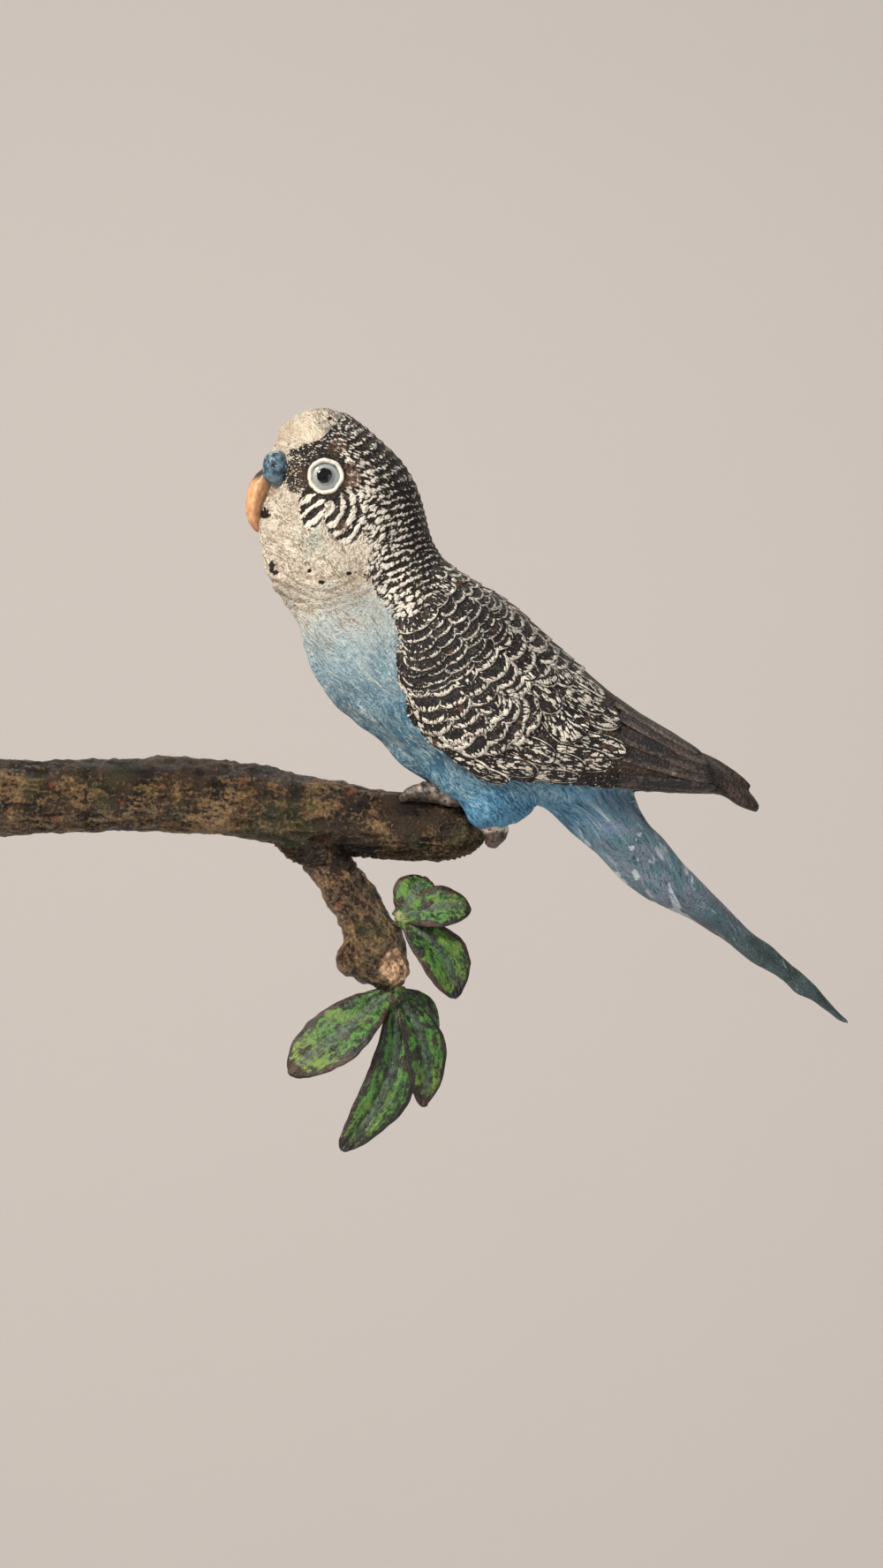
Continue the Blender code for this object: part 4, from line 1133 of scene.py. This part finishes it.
def feather_tree():
    """Sets one feather on each point, turned and sized by the point's own values."""
    tree = bpy.data.node_groups.new("lay_feathers", "GeometryNodeTree")
    for label, kind in (("Geometry", "Geometry"), ("Feather", "Object"), ("Paint", "Material")):
        tree.interface.new_socket(label, in_out="INPUT", socket_type="NodeSocket" + kind)
    tree.interface.new_socket("Geometry", in_out="OUTPUT", socket_type="NodeSocketGeometry")
    t = Tree(tree)
    given = t.node("NodeGroupInput").outputs
    feather = t.node("GeometryNodeObjectInfo", {"Object": given["Feather"]}).outputs["Geometry"]
    turn, size = (
        t.node("GeometryNodeInputNamedAttribute", {"Name": name}, data_type="FLOAT_VECTOR").outputs[0]
        for name in ("turn", "size")
    )
    rotation = t.node("FunctionNodeEulerToRotation", {0: turn}).outputs[0]
    laid = t.node(
        "GeometryNodeInstanceOnPoints",
        {"Points": given["Geometry"], "Instance": feather, "Rotation": rotation, "Scale": size},
    ).outputs[0]
    real = t.node("GeometryNodeRealizeInstances", {0: laid}).outputs[0]
    painted = t.node("GeometryNodeSetMaterial", {"Geometry": real, "Material": given["Paint"]}).outputs[0]
    t.set(t.node("NodeGroupOutput").inputs[0], painted)
    return tree


def surface_tree(item):
    """What lies on the piece's surface, for rays and nearest points, in millimetres."""
    faces = [tuple(poly.vertices) for poly in item.data.polygons]
    return BVHTree.FromPolygons(points_of(item).tolist(), faces)


def row_feathers(row, pitch, length, wide, rim, inside, rng):
    """Feathers side by side with their tips along a line, each pointing across it."""
    before, last = np.array(row[-2:], float)
    beyond = last + (last - before) / math.dist(last, before) * ROW_END
    path = smooth_path([*row, tuple(beyond)], 8)
    steps = np.linalg.norm(np.diff(path, axis=0), axis=1)
    reach = np.concatenate([[0], np.cumsum(steps)])
    count = max(2, round(reach[-1] / pitch))
    made = []
    for k in range(count):
        at = (k + 0.5 + rng.uniform(-0.12, 0.12)) / count * reach[-1]
        x, z = np.interp(at, reach, path[:, 0]), np.interp(at, reach, path[:, 1])
        i = min(int(np.searchsorted(reach, at)), len(path) - 1)
        dx, dz = path[i] - path[i - 1]
        angle = math.atan2(-dx, dz) + rng.uniform(-0.1, 0.1)
        made.append((x, z, angle, length, wide * rng.uniform(0.92, 1.1), rim, inside))
    return made


def between_rows(rows):
    """The rows with one more between each two."""

    def even(row):
        share, places = np.linspace(0, 1, 6), np.linspace(0, 1, len(row))
        return np.stack([np.interp(share, places, line) for line in np.array(row).T], axis=1)

    made = []
    for near, far in zip(rows, rows[1:]):
        made += [near, [tuple(p) for p in (even(near) + even(far)) / 2]]
    return made + [rows[-1]]


def side_spots(specs):
    """Where feathers lie on both wings: where each is looked for, from which way, and its heading."""
    rng = np.random.default_rng(SEED)
    spots = []
    for side in SIDES:
        for order, (x, z, angle, *looks) in enumerate(specs):
            if side > 0:
                x, z, angle = x + rng.normal(0, 0.3), z + rng.normal(0, 0.3), angle + rng.normal(0, 0.06)
            heading = Vector((math.cos(angle), 0, math.sin(angle)))
            spots.append((PERCH + (x, side * WING_RAY, z), Vector((0, -side, 0)), heading, order, *looks))
    return spots


def back_spots():
    """Where feathers lie along the middle of the back, seen from above and behind."""
    rng = np.random.default_rng(SEED + 1)
    heading, from_above = Vector((0.74, 0, -0.67)), Vector((-0.67, 0, -0.74))
    spots = []
    for row in range(BACK_ROWS):
        middle = np.array((-2.0, 0, 47.0)) + np.array(heading) * row * BACK_PITCH
        grow = min(1.0, 0.6 + 0.05 * row)
        for k in range(-2, 3):
            y = (k + 0.5 * (row % 2) - 0.25) * 4.4 + rng.uniform(-0.4, 0.4)
            start = PERCH + middle + (0, y, 0) - CLOSE_RAY * np.array(from_above)
            aside = heading + Vector((0, 0.02 * y, 0))
            spots.append((start, from_above, aside, 0, 6.8 * grow, 6.4 * grow, 0.8 + 0.05 * row, 0.0))
    return spots


def lay_feathers(name, spots, surface, tree, feather, paint, thickness, stack=0.0):
    """Lays feathers on the surface. Each spot ends with length, width, rim and how white it is inside."""
    rng = np.random.default_rng(SEED)
    laid = []
    for start, way, heading, order, length, wide, rim, inside in spots:
        tone = rng.uniform()
        hit, normal, _, _ = surface.ray_cast(Vector(start), way)
        if hit is None:
            continue
        heading = (heading - normal * heading.dot(normal)).normalized()
        turn = tuple(Matrix((heading.cross(normal), heading, normal)).transposed().to_euler())
        laid.append((hit * MM, turn, (wide * MM, length * MM, 1.0), tone, rim, inside, order * stack))
    places, *held = zip(*laid)
    mesh = bpy.data.meshes.new(name)
    mesh.from_pydata(places, [], [])
    item = bpy.data.objects.new(name, mesh)
    bpy.context.scene.collection.objects.link(item)
    for label, values in zip(("turn", "size", "tone", "rim_width", "inside", "lift"), held):
        store(item, label, values)
    layer = item.modifiers.new("feathers", "NODES")
    layer.node_group = tree
    sockets = {s.name: s.identifier for s in tree.interface.items_tree if s.in_out == "INPUT"}
    layer[sockets["Feather"]] = feather
    layer[sockets["Paint"]] = paint
    settle(item)
    drape(item, surface, thickness)
    return finish_piece(item, paint)


def drape(item, surface, thickness):
    """Lays a flat realised piece on the surface, each point lifted by its own rise."""
    rise, lift = np.zeros(len(item.data.vertices)), np.zeros(len(item.data.vertices))
    item.data.attributes["rise"].data.foreach_get("value", rise)
    item.data.attributes["lift"].data.foreach_get("value", lift)
    co = points_of(item)
    for i, point in enumerate(co):
        near, normal, _, _ = surface.find_nearest(Vector(point))
        co[i] = near + normal * (rise[i] * thickness + lift[i])
    set_points(item, co)


def turned_ring(name, profile, side, centre, paint, wobble=0.0):
    """A shape turned about the eye's axis, its profile in (radius, height), with an uneven outline."""
    turn = round_turn(72)
    waves = 0.6 * np.sin(3 * turn + 0.6) + 0.4 * np.sin(7 * turn + 2.1)
    rings = []
    for radius, height in smooth_path(profile, 5):
        r = np.maximum(radius, 0.01) * (1 + wobble * waves * min(1, radius / 2))
        level = np.full(len(turn), side * height)
        rings.append(np.stack([r * np.cos(turn), level, r * np.sin(turn)], axis=1) + centre)
    item = mesh_object(name, *loft(rings))
    p = points_of(item) - PERCH - centre
    reach = max(r for r, _ in profile)
    store(item, "out", np.hypot(p[:, 0], p[:, 2]) / reach)
    store(item, "high", p[:, 2] / reach)
    return finish_piece(item, paint)


def build_eyes(surface, paints):
    """On each side a white ring, a grey-blue iris in it and a black domed pupil."""
    for side, label in zip(SIDES, ("left", "right")):
        start = Vector(PERCH + (EYE[0], side * CLOSE_RAY, EYE[1]))
        centre = np.array(surface.ray_cast(start, Vector((0, -side, 0)))[0]) - PERCH
        turned_ring(f"eye_ring_{label}", EYE_RING, side, centre, paints["eye_ring"], wobble=0.05)
        turned_ring(f"iris_{label}", IRIS, side, centre + (0.12, 0, -0.12), paints["iris"])
        turned_ring(f"pupil_{label}", PUPIL, side, centre + (-0.15, 0, 0.05), paints["pupil"], wobble=0.03)


def build_cere(paint):
    """The two swollen lobes over the beak, each with its nostril."""
    lobes = [ball((CERE[0], side * 3.2, CERE[1]), (3.1, 3.4, 3.9), sides=32) for side in SIDES]
    cere = fused("cere", lobes, CERE_CELL)
    relax(cere, 6)
    p = points_of(cere) - PERCH
    hollow = spot(p[:, 0], p[:, 2], NOSTRIL, 0.8, 0.4) * (np.abs(p[:, 1]) > 3.5)
    swell(cere, 0.14 * noise(p, 1.1, 21) - 0.5 * hollow + 0.12 * noise(p, 0.6, 22))
    # Where the nostril pits are painted near-black as shade
    store(cere, "hollow", hollow * 0.8)
    return finish_piece(cere, paint)


def build_beak(paint):
    """The hooked upper beak and, under it, the tip of the lower one."""
    turn = round_turn(40)
    keel = 1 + 0.08 * np.cos(2 * turn)
    upper = [
        np.stack([x - deep * keel * np.cos(turn), wide * np.sin(turn), np.full(len(turn), z)], axis=1)
        for x, z, deep, wide in smooth_path(BEAK, 8)
    ]
    lower = ball((-41.2, 0, 57.6), (1.9, 1.8, 2.0), sides=24)
    beak = mesh_object("beak", *joined([loft(upper), lower]))
    p = points_of(beak) - PERCH
    swell(beak, 0.05 * np.sin(p[:, 2] * 3.1 + 1.3 * noise(p, 2.0, 31)) + 0.08 * noise(p, 1.3, 32))
    store(beak, "along", (BEAK[0][1] - p[:, 2]) / (BEAK[0][1] - BEAK[-1][1]))
    return finish_piece(beak, paint)


def build_foot(name, side, paint):
    """One foot: two toes forward and two back, closed over the branch, with scales across them."""
    parts = []
    for toe in TOES:
        route = smooth_path([(x, side * y, z, r) for x, y, z, r in toe], 14)
        step = np.concatenate([[0], np.cumsum(np.linalg.norm(np.diff(route[:, :3], axis=0), axis=1))])
        route[:, 3] *= 1 + 0.05 * np.cos(2 * math.pi * step / 1.5)
        parts.append(tube(route, 24))
    foot = fused(name, parts, FOOT_CELL)
    relax(foot, 2)
    p = points_of(foot) - PERCH
    x, _, z = p.T
    knob = ramp(x, 2.0, 5.0) * ramp(z + 0.5 * noise(p, 1.5, 43), -8.2, -7.2)
    stripe = ramp(np.abs(z - 0.9 + 0.55 * (x + 6.0)), 1.5, 0.4) * ramp(x, -1.0, -4.0)
    swell(foot, 0.16 * noise(p, 1.5, 41) + 0.1 * noise(p, 0.7, 42))
    store(foot, "pale", np.maximum(knob, 0.5 * stripe * ramp(noise(p, 1.8, 44), -0.3, 0.3)))
    return finish_piece(foot, paint)


def build_branch(paint):
    """The bark branch with its forked twig, knots, furrows and lumps, cut square at x = 0."""
    place, size, tilt = FORK
    parts = [tube(smooth_path(BRANCH, 4), 40), tube(smooth_path(TWIG, 4), 28)]
    parts += [ball(centre, (radius,) * 3) for centre, radius in KNOTS]
    parts.append(ball(place, size, math.radians(tilt)))
    branch = fused("bark", parts, BARK_CELL, np.zeros(3))
    relax(branch, 5)
    p = points_of(branch)
    x, y, z = p.T
    on_twig = ramp(z, -9.0, -15.0)
    down_twig, round_twig = turned(x, z, -58)
    along = x * (1 - on_twig) + down_twig * on_twig
    around = z * (1 - on_twig) + round_twig * on_twig
    warp = noise(p, 6.0, 51)
    furrow = noise(np.stack([along / 5.5, around / 1.5 + 0.7 * warp, y / 1.5], axis=1), 1.0, 52)
    wrinkle = noise(np.stack([along / 1.6, around / 3.0, y / 3.0], axis=1), 1.0, 54)
    rise = 0.5 * noise(p, (9.0, 6.0, 5.0), 53) + 0.42 * (1 - 2 * np.abs(furrow))
    rise += 0.28 * wrinkle + 0.16 * noise(p, 1.1, 55)
    swell(branch, rise * ramp(x, 0.3, 2.5))
    co = points_of(branch)
    co[:, 0] = np.maximum(co[:, 0], 0.0)
    set_points(branch, co)
    # Darker bark: painted shade under the bird and in the fork, and darker along the top
    shade_and_dark_top = np.maximum(spot(x, z, (95, -2.5), 6.0, 3.0, (0.8, 1)), spot(x, z, (80, -10), 7.5, 3.0, (0.6, 1)))
    shade_and_dark_top = shade_and_dark_top * (0.75 + 0.7 * noise(p, 2.6, 57)) + 0.4 * ramp(z + 0.02 * x, 3.5, 7.0) - 0.24 * on_twig
    bare = ramp(np.hypot(x - 93.0, z + 36.0) + 0.9 * noise(p, 1.4, 56), 4.0, 3.1) * (y < -2)
    store(branch, "raised", np.clip(rise * 1.2, -1, 1))
    store(branch, "grain", np.stack([along / 2.8, around / 0.9 + 0.8 * warp, y / 1.1], axis=1))
    store(branch, "shade_and_dark_top", shade_and_dark_top)
    store(branch, "twig", on_twig)
    store(branch, "bare", bare)
    return finish_piece(branch, paint)


def build_leaf(hub, spec, seed):
    """One cast leaf's vertices, faces and stored values."""
    tip, half_wide, face, bend, light = spec
    start, end = np.array(hub), np.array(hub) + tip
    length = np.linalg.norm(end - start)
    line = (end - start) / length
    across = np.cross(line, face)
    across /= np.linalg.norm(across)
    out = np.cross(across, line)
    shares = np.sin(np.linspace(-math.pi / 2, math.pi / 2, 2 * LEAF_HALF_COLUMNS + 1))
    rings, held = [], []
    for i in range(LEAF_ROWS + 1):
        t = (1 - math.cos(math.pi * i / LEAF_ROWS)) / 2
        uneven = noise(np.array([[t * length, seed * 9.0, 0.0], [t * length, seed * 9.0, 40.0]]), 6.0, 61)
        wide = half_wide * max(0.42 if t < 0.3 else 0.05, math.sin(math.pi * t ** 1.25) ** 0.55)
        bow = math.sin(math.pi * t)
        middle = start + (end - start) * t + out * 1.6 * bow + across * bend * bow
        ring = []
        for top, order in ((1, shares), (-1, shares[-2:0:-1])):
            for s in order:
                spread = wide * (1 + 0.06 * uneven[0 if s < 0 else 1])
                lift = 0.32 * wide * (abs(s) - 0.5 * s * s)
                lift += top * (0.55 * math.sqrt(max(0.0, 1 - s * s)) + 0.1)
                if top > 0:
                    lift += 0.35 * math.exp(-((s * wide / 0.7) ** 2)) * (1 - t)
                    lift -= 0.3 * math.exp(-((abs(s) * wide - 1.1) ** 2) / 0.15)
                ring.append(middle + across * spread * s + out * lift)
                # The tip's share of the light yellow-green, partly a painted highlight
                held.append((t, s, light * ramp(t, 0.55, 0.95), wide))
        rings.append(ring)
    return *loft(rings), held


def build_leaves(name, hub, specs, hub_radius, paint, node, seed):
    """A spray of leaves on its short stem, with veins, worn edges and lumps."""
    leaves = [build_leaf(hub, spec, seed + i) for i, spec in enumerate(specs)]
    stem = ball(hub, np.array((0.9, 0.9, 1.4)) * hub_radius, sides=24)
    item = mesh_object(name, *joined([leaf[:2] for leaf in leaves] + [stem]), np.zeros(3))
    held = [values for leaf in leaves for values in leaf[2]] + [(0.0, 0.0, 0.0, 1.0)] * len(stem[0])
    t, s, light, wide = np.array(held).T
    p = points_of(item)
    off, aside = np.abs(s), np.abs(s * wide)
    lumps = 0.2 * noise(p, 3.2, 62 + seed) + 0.14 * noise(p, 1.3, 63 + seed)
    veins = 0.1 * np.sin(2 * math.pi * (t * 13 - off * 1.6 + 0.5 * noise(p, 3, 64)))
    swell(item, lumps + veins * ramp(off, 0.1, 0.3) * ramp(off, 0.95, 0.7))
    store(item, "vein", np.stack([t * 12, s * wide / 0.9, p[:, 1] / 2], axis=1))
    store(item, "grey", ramp(aside, 1.3, 0.4) * ramp(t, 0.02, 0.2) * ramp(t, 1.0, 0.8))
    store(item, "worn", np.maximum(ramp(off, 0.6, 1.0), ramp(t, 0.84, 1.0)) * 0.9)
    store(item, "light", light)
    store(item, "stem", ramp(t, 0.13, 0.02) * ramp(aside, 1.5, 0.6) * 0.8)
    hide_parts(node)
    return finish_piece(item, paint)


def make_backdrop_paper():
    """Pale matt paper, clear when seen from its back."""
    made, t, shader = new_paint("backdrop")
    pale = (225, 219, 214)
    base = t.wash(pale, [v * 0.97 for v in pale], t.noise(t.place(), 60.0), 0.12)
    end_paint(t, shader, base, 0.9)
    t.set(shader.inputs["Alpha"], t.less(1.0, t.node("ShaderNodeNewGeometry").outputs["Backfacing"]))
    return made


def placed(name, data, place, turn):
    """A sheet, light or camera in the scene, in metres."""
    made = bpy.data.objects.new(name, data)
    made.location, made.rotation_euler = place, turn
    bpy.context.scene.collection.objects.link(made)
    return made


def build_stage():
    """A plain pale floor and backdrop, soft light, and the camera square to the bird's side."""
    scene = bpy.context.scene
    paper = make_backdrop_paper()
    low, half, wall = FLOOR_HEIGHT, ROOM_HALF, WALL_AWAY
    sheets = {
        "floor": [(-half, -half, low), (half, -half, low), (half, half, low), (-half, half, low)],
        "backdrop": [(-half, wall, low), (half, wall, low), (half, wall, WALL_TOP), (-half, wall, WALL_TOP)],
    }
    for name, corners in sheets.items():
        mesh = bpy.data.meshes.new(name)
        mesh.from_pydata(corners, [], [(0, 1, 2, 3)])
        mesh.materials.append(paper)
        sheet = placed(name, mesh, (0, 0, 0), (0, 0, 0))
    world = bpy.data.worlds.new("studio")
    world.use_nodes = True
    sky = world.node_tree.nodes["Background"].inputs
    sky["Color"].default_value, sky["Strength"].default_value = colour((240, 240, 242)), 0.34
    scene.world = world
    # Each light: place in metres, size, power in watts, colour
    lights = {
        "key": ((-0.6, -0.7, 0.65), 0.25, 19.5, (255, 248, 238)),
        "fill": ((0.75, -0.8, -0.1), 0.8, 3.0, (244, 247, 255)),
        "rim": ((0.1, 0.5, 0.8), 0.6, 2.0, (255, 252, 248)),
    }
    for name, (place, size, power, tint) in lights.items():
        lamp = bpy.data.lights.new(name, "AREA")
        lamp.size, lamp.energy, lamp.color = size, power, colour(tint)[:3]
        placed(name, lamp, place, (LIGHT_AIM - Vector(place)).to_track_quat("-Z", "Y").to_euler())
    camera = bpy.data.cameras.new("camera")
    camera.sensor_width = SENSOR
    camera.lens = SENSOR * CAMERA_DISTANCE / FRAME_HEIGHT
    camera.clip_start, camera.clip_end = 0.05, 20.0
    spot_x, spot_z = CAMERA_AIM
    scene.camera = placed("camera", camera, (spot_x, -CAMERA_DISTANCE, spot_z), (math.radians(90), 0, 0))
    scene.view_settings.view_transform = "Standard"


def shoulder_specs(rng):
    """The small feathers of the shoulder: fine rows first, then fuller ones."""
    rows = between_rows(SHOULDER_ROWS[:5])[:-1] + SHOULDER_ROWS[4:]
    specs = []
    for i, row in enumerate(rows):
        grow = min(1.0, 0.55 + 0.055 * i)
        if i < 8:
            inside = 0.42 if i == 0 else 0.0
            specs += row_feathers(row, 6.0 * grow, 6.8 * grow, 9.4 * grow, 0.88, inside, rng)
        else:
            specs += row_feathers(row, 6.2, 8.5, 9.6, 1.6, 0.0, rng)
    return specs


def covert_specs(rng):
    """The coverts in rows, and the large feathers one by one."""
    specs = []
    for row in [SHOULDER_ROWS[-1], *COVERT_ROWS]:
        specs += row_feathers(row, 6.2, 9.4, 9.4, 1.7, 0.0, rng)
    for x, z, degrees, long, wide in LARGE_FEATHERS:
        specs.append((x, z, math.radians(degrees), long, wide * 1.15, 0.3, 0.68))
    return specs


def flight_specs():
    """Long feathers from their roots and tips."""
    return [
        (x1, z1, math.atan2(z1 - z0, x1 - x0), math.hypot(x1 - x0, z1 - z0), wide, 0.5, 0.0)
        for (x0, z0), (x1, z1), wide in FLIGHT_FEATHERS
    ]


def main():
    """The painted bird, its feathers, eyes and feet, the branch and its leaves, and the stage."""
    makers = {
        "plumage": make_plumage_paint, "feather": make_feather_paint, "flight": make_flight_paint,
        "eye_ring": make_eye_ring_paint, "iris": make_iris_paint, "pupil": make_pupil_paint,
        "cere": make_cere_paint, "beak": make_beak_paint, "foot": make_foot_paint,
        "bark": make_bark_paint, "leaf": make_leaf_paint,
    }
    paints = {name: make() for name, make in makers.items()}
    skin = build_skin(paints["plumage"])
    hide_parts("bird")
    surface = surface_tree(skin)
    tree, feather = feather_tree(), feather_mesh()
    rng = np.random.default_rng(SEED)
    shoulder = side_spots(shoulder_specs(rng)) + back_spots()
    coverts, flights = side_spots(covert_specs(rng)), side_spots(flight_specs())
    lay_feathers("shoulder_feathers", shoulder, surface, tree, feather, paints["feather"], 0.62)
    lay_feathers("covert_feathers", coverts, surface, tree, feather, paints["feather"], 0.75)
    lay_feathers("flight_feathers", flights, surface, tree, feather, paints["flight"], 0.5, 0.1)
    build_eyes(surface, paints)
    build_cere(paints["cere"])
    build_beak(paints["beak"])
    build_foot("left_foot", -1, paints["foot"])
    build_foot("right_foot", 1, paints["foot"])
    branch = build_branch(paints["bark"])
    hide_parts("branch")
    build_leaves("end_leaves", END_HUB, END_LEAVES, 1.9, paints["leaf"], "end_leaf_spray", 1)
    build_leaves("side_leaves", SIDE_HUB, SIDE_LEAVES, 1.5, paints["leaf"], "side_leaf_spray", 11)
    build_stage()


main()
